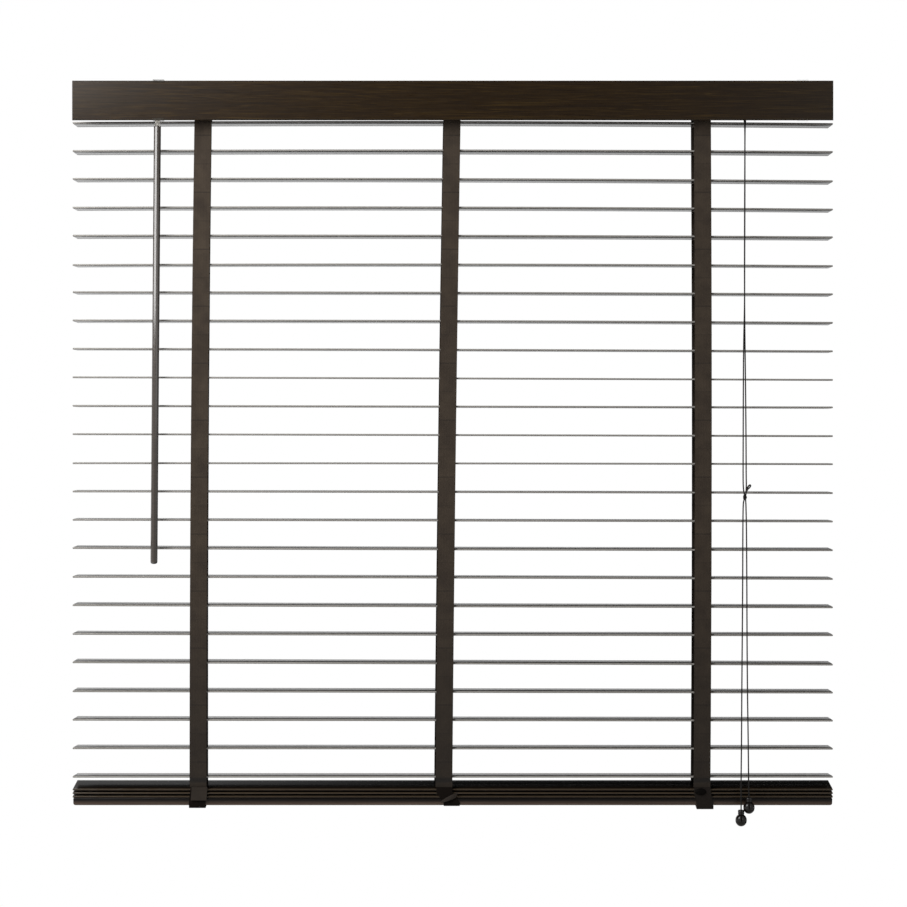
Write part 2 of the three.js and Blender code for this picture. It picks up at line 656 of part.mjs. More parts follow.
/** The free fall from the lock to the tassel. */
const PULL = {
  left: [
    [450.9, -38.0, -60], [451.7, -39.2, -78], [451.8, -39.4, -130], [451.7, -39.4, -200],
    [451.4, -39.4, -280], [451.2, -39.4, -345], [450.2, -39.4, -394], [449.6, -39.4, -437],
    [449.3, -39.4, -500], [449.1, -39.4, -565], [449.0, -39.4, -610], [449.4, -39.5, -630],
    [451.0, -39.6, -641], [450.6, -39.6, -648], [449.2, -39.6, -657], [448.6, -39.8, -695],
    [448.3, -40.0, -770], [447.7, -40.3, -850], [446.9, -40.8, -940], [446.3, -41.5, -1020],
    [445.6, -42.3, -1080], [445.5, -43.2, -1135.5]],
  right: [
    [453.1, -36.6, -60], [452.3, -36.6, -78], [452.0, -36.6, -130], [451.7, -36.6, -200],
    [451.5, -36.7, -280], [451.6, -37.2, -345], [451.9, -37.9, -394], [452.4, -38.5, -437],
    [453.1, -38.9, -500], [453.6, -39.1, -565], [453.8, -39.2, -610], [454.0, -39.2, -626],
    [453.3, -39.0, -640], [453.0, -39.0, -648], [453.5, -39.2, -660], [454.2, -39.6, -700],
    [454.7, -40.0, -780], [455.0, -40.3, -860], [455.6, -40.5, -940], [456.6, -40.6, -1010],
    [457.2, -40.5, -1065], [457.9, -40.4, -1116.5]],
};

for (const side of ['left', 'right']) {
  const route = [...liftRoute(CORD_X[side], CORD_LANE_Y[side], PULL[side][0][0]), ...PULL[side]];
  place(`cord_${side}`, cordTube(route), CORD);
}

// ---- Tassels: turned acorns on the cord ends ----

function tassel() {
  const [h, r, neck] = [TASSEL_HEIGHT, TASSEL_RADIUS, TASSEL_NECK_RADIUS];
  const bore = CORD_RADIUS + GAP;
  return new THREE.LatheGeometry(points2(
    [0, -h], [r * 0.45, -h * 0.98], [r * 0.8, -h * 0.88], [r, -h * 0.68], [r * 0.96, -h * 0.52],
    [r * 0.78, -h * 0.4], [neck, -h * 0.27], [neck * 0.95, -h * 0.1], [neck * 0.8, 0],
    [bore, 0], [bore, -TASSEL_BORE_DEPTH], [0, -TASSEL_BORE_DEPTH]), 16).rotateX(Math.PI / 2);
}

for (const side of ['left', 'right']) {
  const [x, y, z] = PULL[side].at(-1);
  place(`tassel_${side}`, tassel(), TASSEL, x, y, z + TASSEL_BORE_DEPTH - CORD_END_CLEARANCE);
}

export default blind;
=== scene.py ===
# %% [markdown]
# # A wooden venetian blind
# Slats of stained wood hang in three woven ladder tapes under a headrail that a valance hides.
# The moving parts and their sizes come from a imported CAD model, the frame. This lesson gives each
# piece its finish, and models the soft and the finely shaped ones anew in the places that the
# frame gives. All lengths are in metres.

# %% Load the frame
import json
import math
import random

import bpy
from mathutils import Matrix, Vector


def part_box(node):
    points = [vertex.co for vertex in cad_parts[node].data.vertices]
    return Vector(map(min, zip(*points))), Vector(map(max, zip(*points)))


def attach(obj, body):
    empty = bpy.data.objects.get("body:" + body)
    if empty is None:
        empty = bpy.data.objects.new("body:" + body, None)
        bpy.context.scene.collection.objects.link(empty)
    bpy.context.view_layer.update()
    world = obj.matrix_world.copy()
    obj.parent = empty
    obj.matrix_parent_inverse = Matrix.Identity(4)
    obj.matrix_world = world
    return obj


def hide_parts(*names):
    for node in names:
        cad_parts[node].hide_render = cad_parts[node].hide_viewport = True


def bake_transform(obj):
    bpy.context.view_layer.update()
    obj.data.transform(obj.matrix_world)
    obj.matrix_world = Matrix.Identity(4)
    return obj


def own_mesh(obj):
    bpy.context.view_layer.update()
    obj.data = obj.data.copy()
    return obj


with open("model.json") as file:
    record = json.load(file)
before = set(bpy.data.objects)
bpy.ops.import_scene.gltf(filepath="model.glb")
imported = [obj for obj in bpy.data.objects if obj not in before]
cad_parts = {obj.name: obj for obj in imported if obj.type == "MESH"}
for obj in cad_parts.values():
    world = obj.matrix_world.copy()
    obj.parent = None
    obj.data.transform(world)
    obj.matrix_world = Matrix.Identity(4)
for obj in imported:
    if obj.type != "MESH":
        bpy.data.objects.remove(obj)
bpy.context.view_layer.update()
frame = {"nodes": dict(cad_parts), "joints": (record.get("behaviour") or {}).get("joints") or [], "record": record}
MM = 0.001

# %% [markdown]
# ## Camera
# The blind is seen straight on, from a long way off, with the lens level and a little above the
# blind's middle. A level camera keeps all uprights parallel. The lens is then shifted a little
# instead of being tilted, as with a view camera.

# %% Camera
SCENE = bpy.context.scene
SCENE.view_settings.view_transform = "Standard"
CAMERA_DISTANCE = 4.025
CAMERA_SIDE = 1.17 * MM
CAMERA_HEIGHT = -0.525
LENS = 102.3
SHIFT = -0.0369

camera_data = bpy.data.cameras.new("camera")
camera_data.sensor_width = 36
camera_data.lens = LENS
camera_data.shift_y = SHIFT
camera = bpy.data.objects.new("camera", camera_data)
camera.location = (CAMERA_SIDE, -CAMERA_DISTANCE, CAMERA_HEIGHT)
camera.rotation_euler = (math.radians(90), 0, 0)
SCENE.collection.objects.link(camera)
SCENE.camera = camera
print("camera stands", CAMERA_DISTANCE, "m in front")

# %% [markdown]
# ## Small helpers
# Operators work on what is selected, so each step starts from nothing selected. A finished
# piece's object sits at the origin with its place in its mesh, as the frame's own nodes do.

# %% Helpers for pieces
def select_only(*pieces):
    bpy.ops.object.select_all(action="DESELECT")
    for piece in pieces:
        piece.select_set(True)
    bpy.context.view_layer.objects.active = pieces[0]


def finish_piece(name, smooth_angle=None, material=None):
    """Names and dresses the active object, with its place in its mesh and its faces outwards."""
    piece = bpy.context.object
    piece.name = name
    select_only(piece)
    bpy.ops.object.transform_apply(location=True, rotation=True, scale=True)
    bpy.ops.object.mode_set(mode="EDIT")
    bpy.ops.mesh.select_all(action="SELECT")
    bpy.ops.mesh.remove_doubles(threshold=1e-6)
    bpy.ops.mesh.normals_make_consistent(inside=False)
    bpy.ops.object.mode_set(mode="OBJECT")
    if smooth_angle is not None:
        bpy.ops.object.shade_smooth_by_angle(angle=math.radians(smooth_angle))
    if material:
        piece.data.materials.append(material)
    return piece


def apply_modifier(piece, kind, **settings):
    select_only(piece)
    modifier = piece.modifiers.new(kind.title(), kind)
    for key, value in settings.items():
        setattr(modifier, key, value)
    bpy.ops.object.modifier_apply(modifier=modifier.name)


def join_pieces(name, pieces):
    select_only(*pieces)
    bpy.ops.object.join()
    joined = bpy.context.object
    joined.name = name
    return joined


def in_scene(name, data):
    """A new object that shows the data."""
    made = bpy.data.objects.new(name, data)
    SCENE.collection.objects.link(made)
    return made


def copy_piece(piece, name, move=(0, 0, 0)):
    """A copy with a mesh of its own, moved inside that mesh."""
    copy = piece.copy()
    copy.data = piece.data.copy()
    copy.data.transform(Matrix.Translation(move))
    copy.name = name
    SCENE.collection.objects.link(copy)
    return copy


# %% [markdown]
# ## Materials: shared tools
# Colours are written as the hex values that a paint chart would give, which are sRGB. Shaders
# count in linear light, so one function turns them. One more function adds a node, and the
# others are short names for the few kinds of node that these finishes are drawn with.

# %% Colour and node helpers
def linear(hex_colour):
    channels = [int(hex_colour[i:i + 2], 16) / 255 for i in (1, 3, 5)]
    return [c / 12.92 if c <= 0.04045 else ((c + 0.055) / 1.055) ** 2.4 for c in channels] + [1.0]


def feed(tree, node, inputs):
    """Each input is a plain value to set on its socket, or a socket to link to it."""
    for key, value in inputs.items():
        if isinstance(value, bpy.types.NodeSocket):
            tree.links.new(value, node.inputs[key])
        else:
            node.inputs[key].default_value = value


def add(tree, kind, inputs, **settings):
    node = tree.nodes.new(kind)
    for key, value in settings.items():
        setattr(node, key, value)
    feed(tree, node, inputs)
    return node


def dress(tree, **surface):
    """Feeds the material's own shader."""
    feed(tree, tree.nodes["Principled BSDF"], {k.replace("_", " "): surface[k] for k in surface})


def new_material(name, **surface):
    """A material, its node tree and its Object coordinates."""
    material = bpy.data.materials.new(name)
    material.use_nodes = True
    tree = material.node_tree
    dress(tree, **surface)
    return material, tree, add(tree, "ShaderNodeTexCoord", {}).outputs["Object"]


def ramp(tree, factor, stops):
    """A colour ramp through (place, hex colour) stops."""
    node = add(tree, "ShaderNodeValToRGB", {"Fac": factor})
    elements = node.color_ramp.elements
    while len(elements) < len(stops):
        elements.new(0.5)
    for element, (place, colour) in zip(elements, stops):
        element.position = place
        element.color = linear(colour)
    return node.outputs["Color"]


def stretched(tree, place, along, across):
    """The coordinates counted in lengths of along in X, and of across in Y and Z."""
    return add(tree, "ShaderNodeMapping", {
        "Vector": place, "Scale": (1 / along, 1 / across, 1 / across)}).outputs["Vector"]


def noise(tree, place, size, detail, **more):
    """Soft lumps of about the size given."""
    return add(tree, "ShaderNodeTexNoise", {
        "Vector": place, "Scale": 1 / size, "Detail": detail, **more}).outputs["Fac"]


def ribs(tree, place, axis, pitch, **more):
    """Ribs that follow each other along an axis: the texture turns 20 radians in a unit."""
    return add(tree, "ShaderNodeTexWave", {
        "Vector": place, "Scale": 2 * math.pi / pitch / 20, **more},
        wave_type="BANDS", bands_direction=axis).outputs["Fac"]


def fade(tree, socket, start, end, first=0, last=1, kind="SMOOTHSTEP"):
    """Goes from first to last while the socket runs from start to end."""
    return add(tree, "ShaderNodeMapRange", {
        "Value": socket, "From Min": start, "From Max": end, "To Min": first, "To Max": last},
        interpolation_type=kind).outputs["Result"]


def count(tree, operation, *terms):
    """Counts with sockets and plain numbers."""
    node = add(tree, "ShaderNodeMath", dict(enumerate(terms)), operation=operation)
    return node.outputs["Value"]


def mix(tree, share, first, last):
    """Goes from the first value to the last as share goes from 0 to 1."""
    return add(tree, "ShaderNodeMix", {"Factor": share, 2: first, 3: last},
               data_type="FLOAT").outputs[0]


def tinted(tree, share, colour, hex_colour):
    """Goes from a colour to the one given in hex as share goes from 0 to 1."""
    return add(tree, "ShaderNodeMix", {"Factor": share, 6: colour, 7: linear(hex_colour)},
               data_type="RGBA").outputs[2]


def bump(tree, height, strength, distance):
    return add(tree, "ShaderNodeBump", {
        "Height": height, "Strength": strength, "Distance": distance}).outputs["Normal"]


def mottled(name, size, detail, tones, stretch=None, satin=None, relief=None, **surface):
    """A finish in soft lumps of two tones. satin is its range of roughness, stretch the lumps'
    length and width, and relief the bump's strength and depth."""
    material, tree, place = new_material(name, **surface)
    if stretch:
        place = stretched(tree, place, *stretch)
    lumps = noise(tree, place, size, detail)
    dress(tree, Base_Color=ramp(tree, lumps, [(0.3, tones[0]), (0.7, tones[1])]))
    if satin:
        dress(tree, Roughness=fade(tree, lumps, 0, 1, *satin, kind="LINEAR"))
    if relief:
        dress(tree, Normal=bump(tree, lumps, *relief))
    return material


# %% [markdown]
# ## Stained wood
# The slats are planed basswood under a dark stain and a hard clear lacquer. Planed wood shows
# thin streaks that run a hand's length or two along the board and only a few millimetres across,
# and the lacquer gives a clear gloss that turns to a mirror at a grazing angle. A noise that is
# stretched along X draws the streaks, and a second, finer one draws the pores.

# %% Stained wood
def stained_wood(name, tones, streak, grain, roughness, relief=0.15, ior=1.5, band=None,
                 wave=0.35):
    """tones are three hex colours from the darkest streak to the lightest, and streak and grain
    a streak's length and width in mm. band is an axis, the two distances from the middle plane
    between which another tone comes in, and that tone."""
    material, tree, place = new_material(name, IOR=ior)
    fibres = stretched(tree, place, streak * MM, grain * MM)
    streaks = noise(tree, fibres, 1, 5, Roughness=0.62, Distortion=wave)
    colour = ramp(tree, streaks, [(0.3, tones[0]), (0.52, tones[1]), (0.72, tones[2])])
    pores = noise(tree, stretched(tree, place, streak * MM / 4, grain * MM / 4), 1, 2)
    gloss = fade(tree, pores, 0.3, 0.7, roughness * 0.85, roughness * 1.2, kind="LINEAR")
    if band:
        axis, start, end, band_tone = band
        split = add(tree, "ShaderNodeSeparateXYZ", {"Vector": place})
        outward = count(tree, "ABSOLUTE", split.outputs[axis])
        colour = tinted(tree, fade(tree, outward, start, end), colour, band_tone)
    dress(tree, Base_Color=colour, Roughness=gloss, Normal=bump(tree, pores, relief, 0.05 * MM))
    return material


SLAT_TONES = ("#1a1510", "#221b15", "#2a211a")
EDGE_HIGHLIGHT_BAND = (22.5 * MM, 23.8 * MM)  # a painted highlight: the band along a slat's long, rounded edges is lighter
rail_low, rail_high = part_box("bottom_rail")
RAIL_TOP_SHADE = (-rail_low[2] + 1 * MM, -rail_low[2] - 8 * MM)  # painted shade: its front darkens over 9 mm up, under the spare slats
# painted highlight and reflection: a lighter band along the slats' rounded long edges
lacquered_slat = stained_wood(
    "lacquered basswood slat", SLAT_TONES, 260, 2.4, 0.15, relief=0.01,
    band=("Y", *EDGE_HIGHLIGHT_BAND, "#bab6b0"))
# painted shade: the spare slats lie in the stack's shade, so their painted edge highlight is dimmer
lacquered_spare_shaded = stained_wood(
    "lacquered basswood spare slat, dimmer painted highlight", SLAT_TONES, 260, 2.4, 0.15, relief=0.02,
    band=("Y", *EDGE_HIGHLIGHT_BAND, "#4d4133"))
lacquered_valance = stained_wood(
    "lacquered basswood valance", ("#1b1005", "#2b1d0a", "#453418"), 110, 3.2, 0.32, relief=0.2,
    ior=1.38, wave=1.8)
# painted light and shade: tones lighter than the slats' for the floor's reflection on the rounded lower edge, and
# a dark top band
lacquered_rail = stained_wood(
    "lacquered basswood rail", ("#57453a", "#715c4e", "#8a7465"), 240, 2.6, 0.3, ior=1.4,
    band=("Z", *RAIL_TOP_SHADE, "#0c0705"))
lacquered_wand = stained_wood(
    "lacquered wand", ("#332a22", "#40352b", "#4b4035"), 120, 2.0, 0.16, relief=0.01, ior=1.75)
turned_tassel = stained_wood(
    "turned and lacquered tassel", ("#0f0a08", "#17100d", "#211713"), 8, 1.5, 0.1, relief=0.02,
    ior=1.42)
dark_button = stained_wood(
    "turned tape button", ("#060504", "#0b0807", "#110d0a"), 8, 1.5, 0.6, ior=1.15)
print("wood finishes made")

# %% [markdown]
# ## Woven tape and braided cord
# A ladder tape is a cotton and polyester webbing: yarns run down it and are crossed by weft every
# half millimetre, which gives a matt cloth with fine ribs. Ribs that fine don't show, so they are
# drawn about three times as coarse. Part way from one rung to the next the tape has a faint
# crease, and every second one is deeper; their shade is painted into the cloth. Towards the foot
# the cloth is darker, and a painted shadow darkens the strips where they go in at the stack.
# The cords are braided, so their yarns run round them in a slant.

# %% Woven tape and braided cord
SLAT_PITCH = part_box("slat_01")[0][2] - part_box("slat_02")[0][2]
CREASE_DROP = 19.5 * MM
CREASE_SHADE_HALF = 1.6 * MM
CREASE_COUNT = 100.5  # keeps the count of pitches above 0, with a crease at each half
STACK_ENTRY_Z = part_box("spare_slat_1")[1][2] + 7 * MM  # where a painted shadow darkens the strips, as they go in at the stack
FOOT_DARKENING_Z = (-1.1, -0.65)
FIRST_SLAT_Z = (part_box("slat_01")[0][2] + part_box("slat_01")[1][2]) / 2
WEFT_PITCH = 1.7 * MM
WARP_PITCH = 2.4 * MM
YARN_PITCH = 1.2 * MM


def slat_z(number):
    return FIRST_SLAT_Z - (number - 1) * SLAT_PITCH


def woven_tape(name, tones, ior=1.45, sheen=0.2):
    """tones are three hex colours, from the deepest rib to the highest."""
    material, tree, place = new_material(name, Roughness=0.85, IOR=ior, Sheen_Weight=sheen,
                                         Sheen_Roughness=0.4, Sheen_Tint=linear("#8a7668"))
    weft = ribs(tree, place, "Z", WEFT_PITCH, Distortion=0.6, Detail=1)
    warp = ribs(tree, place, "X", WARP_PITCH, Distortion=0.4)
    weave = count(tree, "MULTIPLY", weft, warp)
    mottle = noise(tree, place, 25 * MM, 4)
    colour = ramp(tree, count(tree, "MULTIPLY_ADD", weave, 0.35, mottle),
                  [(0.35, tones[0]), (0.6, tones[1]), (0.95, tones[2])])
    height = add(tree, "ShaderNodeSeparateXYZ", {"Vector": place}).outputs["Z"]
    # painted shade: each crease darkens the cloth, every second one more
    crease_shades = []
    for pitch, strength in ((SLAT_PITCH, 0.25), (2 * SLAT_PITCH, 0.35)):
        start = CREASE_COUNT - (FIRST_SLAT_Z - CREASE_DROP) / pitch
        share = count(tree, "FRACT", count(tree, "MULTIPLY_ADD", height, 1 / pitch, start))
        near = count(tree, "ABSOLUTE", count(tree, "SUBTRACT", share, 0.5))
        crease_shades.append(fade(tree, near, 0, CREASE_SHADE_HALF / pitch, strength, 0))
    colour = tinted(tree, count(tree, "ADD", *crease_shades), colour, "#1c1612")
    # the cloth is darker towards the foot
    colour = tinted(tree, fade(tree, height, *FOOT_DARKENING_Z, 0.6, 0), colour, "#17120e")
    # painted shadow: a dark band on the strips where they go in at the stack
    from_entry = count(tree, "ABSOLUTE", count(tree, "SUBTRACT", height, STACK_ENTRY_Z))
    painted_entry_shadow = fade(tree, from_entry, 1.5 * MM, 6 * MM, 0.75, 0)
    colour = tinted(tree, painted_entry_shadow, colour, "#0b0806")
    dress(tree, Base_Color=colour, Normal=bump(tree, weave, 0.5, 0.2 * MM))
    return material


def braided_cord():
    material, tree, place = new_material("braided cord", Roughness=0.75, IOR=1.4,
                                         Sheen_Weight=0.05)
    slant = add(tree, "ShaderNodeMapping", {"Vector": place, "Rotation": (0, math.radians(35), 0)})
    yarns = ribs(tree, slant.outputs["Vector"], "Z", YARN_PITCH)
    dress(tree, Base_Color=ramp(tree, yarns, [(0.1, "#0b0908"), (0.9, "#1b1613")]),
          Normal=bump(tree, yarns, 0.5, 0.15 * MM))
    return material


tape_cloth = woven_tape("woven tape", ("#382e25", "#453a2f", "#53473a"))
tape_end_cloth = woven_tape(
    "woven tape, shaded ends", ("#1b140f", "#241c16", "#31271f"), ior=1.35, sheen=0.1)
# painted shade: a darker copy of the tape for the loops that hang in deep shade
tape_deep_shade_cloth = woven_tape(
    "woven tape, painted deep shade", ("#110c09", "#18120e", "#221a15"), ior=1.2, sheen=0.0)
cord_braid = braided_cord()
print("cloth finishes made")

# %% [markdown]
# ## The pull cords
# Two braided cords leave the lock's mouth and hang in front of the slats. They are tied together
# once, well below the middle, and end in a tassel each. A limp cord under a light weight hangs
# almost straight, with the slow drift that its braid remembers. Each route is a list of given
# points, smoothed into a curve.

# %% Pull cord routes
CORD_RADIUS = 1.05 * MM
CORD_X = {"left": -391, "right": 385}
PULL = {
    "left": [
        (450.9, -37.0, -37.7), (450.9, -38.0, -60), (451.7, -39.2, -78), (451.8, -39.4, -130),
        (451.7, -39.4, -200), (451.4, -39.4, -280), (451.2, -39.4, -345), (450.2, -39.4, -394),
        (449.6, -39.4, -437), (449.3, -39.4, -500), (449.1, -39.4, -565), (449.0, -39.4, -610),
        (449.4, -39.5, -630), (451.0, -39.6, -641), (450.6, -39.6, -648), (449.2, -39.6, -657),
        (448.6, -39.8, -695), (448.3, -40.0, -770), (447.7, -40.3, -850), (446.9, -40.8, -940),
        (446.3, -41.5, -1020), (445.6, -42.3, -1080), (445.5, -43.2, -1135.5)],
    "right": [
        (453.1, -37.0, -37.7), (453.1, -36.6, -60), (452.3, -36.6, -78), (452.0, -36.6, -130),
        (451.7, -36.6, -200), (451.5, -36.7, -280), (451.6, -37.2, -345), (451.9, -37.9, -394),
        (452.4, -38.5, -437), (453.1, -38.9, -500), (453.6, -39.1, -565), (453.8, -39.2, -610),
        (454.0, -39.2, -626), (453.3, -39.0, -640), (453.0, -39.0, -648), (453.5, -39.2, -660),
        (454.2, -39.6, -700), (454.7, -40.0, -780), (455.0, -40.3, -860), (455.6, -40.5, -940),
        (456.6, -40.6, -1010), (457.2, -40.5, -1065), (457.9, -40.4, -1116.5)],
}


def smooth_route(points, steps=5):
    """A Catmull-Rom curve through the points, in metres."""
    knots = [Vector(p) * MM for p in points]
    knots = [2 * knots[0] - knots[1]] + knots + [2 * knots[-1] - knots[-2]]
    route = []
    for a, b, c, d in zip(knots, knots[1:], knots[2:], knots[3:]):
        for step in range(steps):
            t = step / steps
            route.append(0.5 * (2 * b + (c - a) * t + (2 * a - 5 * b + 4 * c - d) * t * t
                                + (3 * b - a - 3 * c + d) * t ** 3))
    return route + [knots[-2]]


def route_length(route):
    return sum((b - a).length for a, b in zip(route, route[1:]))


def cord_along(name, route, radius=CORD_RADIUS, sides=3):
    """A round cord along a route, as a mesh with closed ends."""
    data = bpy.data.curves.new(name, "CURVE")
    data.dimensions = "3D"
    data.bevel_depth = radius
    data.bevel_resolution = sides
    data.use_fill_caps = True
    spline = data.splines.new("POLY")
    spline.points.add(len(route) - 1)
    for point, place in zip(spline.points, route):
        point.co = (*place, 1)
    curve = in_scene(name, data)
    select_only(curve)
    bpy.ops.object.convert(target="MESH")
    piece = finish_piece(name, smooth_angle=40)
    piece.data.materials.clear()
    piece.data.materials.append(cord_braid)
    return piece


pull_routes = {side: smooth_route(points) for side, points in PULL.items()}
pull_cords = {side: cord_along(f"pull_cord_{side}", route)
              for side, route in pull_routes.items()}
for side, route in pull_routes.items():
    print("pull cord", side, round(route_length(route), 4), "m")

# %% [markdown]
# ## The knot
# The two cords are tied together in one overhand knot, and a short curl of one of them stands off
# beside it. An overhand knot's own path is a trefoil: three lobes wound twice round. It is drawn
# from that formula, flattened and pulled tight, with a cord's own thickness.

# %% Knot and curl
KNOT_HEIGHT = -644.5
KNOT_MIDDLE = (451.7, -39.3, KNOT_HEIGHT)
KNOT_RADIUS = 1.3
KNOT_SHAPE = (0.5625, 0.7, 0.825)  # its share of the radius across, in depth and in height
KNOT_STEPS = 96


def trefoil(turn):
    lobe = 2 + math.cos(3 * turn)
    path = (lobe * math.cos(2 * turn), math.sin(3 * turn), lobe * math.sin(2 * turn))
    return [middle + KNOT_RADIUS * share * way
            for middle, share, way in zip(KNOT_MIDDLE, KNOT_SHAPE, path)]


knot_route = [Vector(trefoil(2 * math.pi * i / KNOT_STEPS)) * MM for i in range(KNOT_STEPS + 1)]
knot = cord_along("cord_knot", knot_route)
curl = cord_along("cord_curl", smooth_route([
    (452.4, -40.4, KNOT_HEIGHT + 2), (453.2, -41.2, -637.6), (454.4, -41.5, -632.4),
    (456.6, -41.6, -627.6), (459.2, -41.4, -625.4), (460.4, -41.2, -626.6),
    (459.0, -41.2, -629.2), (456.4, -41.5, -631.6), (454.4, -42.4, -634.6)]),
    radius=1.15 * MM)
knot = join_pieces("cord_knot", [knot, curl])
print("knot at", KNOT_HEIGHT, "mm")

# %% [markdown]
# ## Tassels
# Each cord ends in a turned wooden acorn: a neck that flares into a round bell, drilled from the
# top for the cord. A turned piece is a profile spun round an axis, and that is how it is made.

# %% Tassels
def spun(name, profile, steps, material):
    """A solid of revolution about Z from (radius, height) points, spun in edit mode."""
    mesh = bpy.data.meshes.new(name)
    mesh.from_pydata([(r, 0, z) for r, z in profile],
                     [(i, i + 1) for i in range(len(profile) - 1)], [])
    piece = in_scene(name, mesh)
    select_only(piece)
    bpy.ops.object.mode_set(mode="EDIT")
    bpy.ops.mesh.select_all(action="SELECT")
    bpy.ops.mesh.spin(steps=steps, angle=2 * math.pi, center=(0, 0, 0), axis=(0, 0, 1))
    bpy.ops.object.mode_set(mode="OBJECT")
    return finish_piece(name, 50, material)


TASSEL_BORE = CORD_RADIUS + 0.3 * MM
TASSEL_NECK = 5 * MM
TASSEL_RISE = 1.3 * MM  # the knot inside holds each tassel a little up its cord
BORE_END = 0.63  # this and the bell's two places are shares of the tassel's height
BELL_WAIST = 0.7
BELL_CENTRE = 0.375
BELL_TOP_STRETCH = 1.02
BELL_TURN = (62, -90)  # degrees above level where the bell starts, and where it ends
BELL_STEPS = 12


def acorn_profile(top, bottom, bell_radius, neck_radius):
    """Neck, ring, bell and a blunt tip, from the drilled top down to the bottom."""
    height = top - bottom
    points = [(TASSEL_BORE, BORE_END), (TASSEL_BORE, 1.0), (neck_radius * 0.78, 1.0),
              (neck_radius * 0.95, 0.97), (neck_radius, 0.9), (neck_radius * 0.96, 0.8),
              (neck_radius * 1.02, 0.74)]
    first, last = BELL_TURN
    for i in range(BELL_STEPS):
        turn = math.radians(first - i * (first - last) / BELL_STEPS)
        rise = BELL_CENTRE * math.sin(turn) * (1 if turn < 0 else BELL_TOP_STRETCH)
        points.append((bell_radius * math.cos(turn), min(BELL_CENTRE + rise, BELL_WAIST)))
    points = [(0.0, BORE_END)] + points + [(0.0, 0.0)]
    return [(r, bottom + z * height) for r, z in points]


tassels = {}
for side in ("left", "right"):
    low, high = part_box(f"tassel_{side}")
    tassel = spun(f"acorn_{side}", acorn_profile(
        high[2] + TASSEL_RISE, low[2] + TASSEL_RISE, (high[0] - low[0]) / 2, TASSEL_NECK),
        32, turned_tassel)
    tassel.data.transform(Matrix.Translation(
        ((low[0] + high[0]) / 2, (low[1] + high[1]) / 2, 0)))
    tassels[side] = tassel
print("tassels:", [piece.name for piece in tassels.values()])

# %% Tassels ride, and the frame's cords are hidden
for side, cord in pull_cords.items():
    route = pull_routes[side]
    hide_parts(f"tassel_{side}")
    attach(tassels[side], "tassels")
    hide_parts(f"cord_{side}")
    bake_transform(cord)
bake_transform(knot)
for side, cord in pull_cords.items():
    route = pull_routes[side]

# %% [markdown]
# ## The lift cords inside the blind
# Behind the valance each cord runs along the headrail and down through the slots in the slats to
# the bottom rail. When the blind is raised that part shortens; here it is one fixed piece.

# %% Inner lift cords
LIFTED = [22, 23, 24]  # the slats that gather
LANE_Z = -37.1
CORD_LANE_Y = {"left": -3.2, "right": 0.0}
for side in PULL:
    mouth = PULL[side][0][0]
    x, lane = CORD_X[side], CORD_LANE_Y[side]
    inner = cord_along(f"lift_cord_{side}", [Vector(p) * MM for p in (
        [(x, 0, z) for z in range(-1112, -62, 30)] + [
            (x, 0, -44), (x + 0.3, lane * 0.3, -39.2), (x + 1.4, lane * 0.8, LANE_Z - 0.4),
            (x + 3.6, lane, LANE_Z), (x + 20, lane, LANE_Z), (mouth - 7, lane, LANE_Z),
            (mouth - 1.8, lane - 1, LANE_Z + 0.3), (mouth, lane - 4, LANE_Z + 0.9),
            (mouth, -22, LANE_Z + 2.4), (mouth, -33.6, LANE_Z + 3), (mouth, -36.1, LANE_Z + 2),
            PULL[side][0]])])
    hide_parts(f"cord_{side}")
    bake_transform(inner)
print("inner cords run to the rail")

# %% [markdown]
# ## Ladder tapes
# A ladder tape is two strips of webbing, in front of the slats and behind them, joined by a rung
# under each slat. At the top the strips run in to the drums on the tilt rod. Tilting the blind
# pulls one strip up and lets the other down, and raising it gathers the lower part. So each
# strip is three pieces: the run-in between the headrail and the first slat, and the upper and
# lower ones, which ride with the strips. A flat strap is modelled directly: a grid is laid along
# a line, then given its thickness.

# %% Ribbon helper
TAPE_WIDTH = 26.2 * MM
TAPE_THICKNESS = 0.7 * MM
TAPE_COLUMNS = 6


def ribbon(name, centres, across, thickness=TAPE_THICKNESS, material=tape_cloth):
    """A strap along the points of centres. across gives its width as a vector at each point."""
    rows = len(centres)
    bpy.ops.mesh.primitive_grid_add(x_subdivisions=TAPE_COLUMNS, y_subdivisions=rows - 1, size=1)
    piece = bpy.context.object
    for vertex in piece.data.vertices:
        u, v = vertex.co.x, vertex.co.y + 0.5
        row = min(round(v * (rows - 1)), rows - 1)
        vertex.co = centres[row] + across[row] * u
    apply_modifier(piece, "SOLIDIFY", thickness=thickness, offset=0)
    return finish_piece(name, 35, material)


# %% Tape strips
DRUM_Y = 14.65 * MM
STRIP_Y = 27.9 * MM  # a ladder is a little wider than its slats, which leaves them room to tilt
FOOT_Y = 25.9 * MM  # at the stack the strips are drawn in against the bottom rail
FOOT_REACH = 5 * MM
BELLY = 0.45 * MM
CREASE_DEPTHS = (0.16 * MM, 0.3 * MM)  # by turns
CREASE_REACH = 1.3 * MM
joints = {joint["name"]: joint for joint in frame["joints"]}
ROD_Z = joints["tilt_rod_turn"]["pos_m"][2]
FLOOR_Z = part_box("headrail")[0][2]
RUN_IN = [(DRUM_Y, ROD_Z), (DRUM_Y, FLOOR_Z + 4 * MM), (STRIP_Y, FLOOR_Z - 20 * MM)]
RUN_IN_END = FIRST_SLAT_Z + 0.5 * MM
STACK_PIVOT_Z = joints["rail_tilt"]["pos_m"][2]
GATHER_Z = slat_z(LIFTED[0] - 1)
SIDES = ("left", "middle", "right")
ladders = {}
for side in SIDES:
    low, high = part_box(f"tape_front_{side}")
    ladders[side] = {"top": high[0] - TAPE_WIDTH / 2, "bottom": low[0] + TAPE_WIDTH / 2,
                     "high": high[2], "low": low[2]}
    print(side, {key: round(value, 4) for key, value in ladders[side].items()})


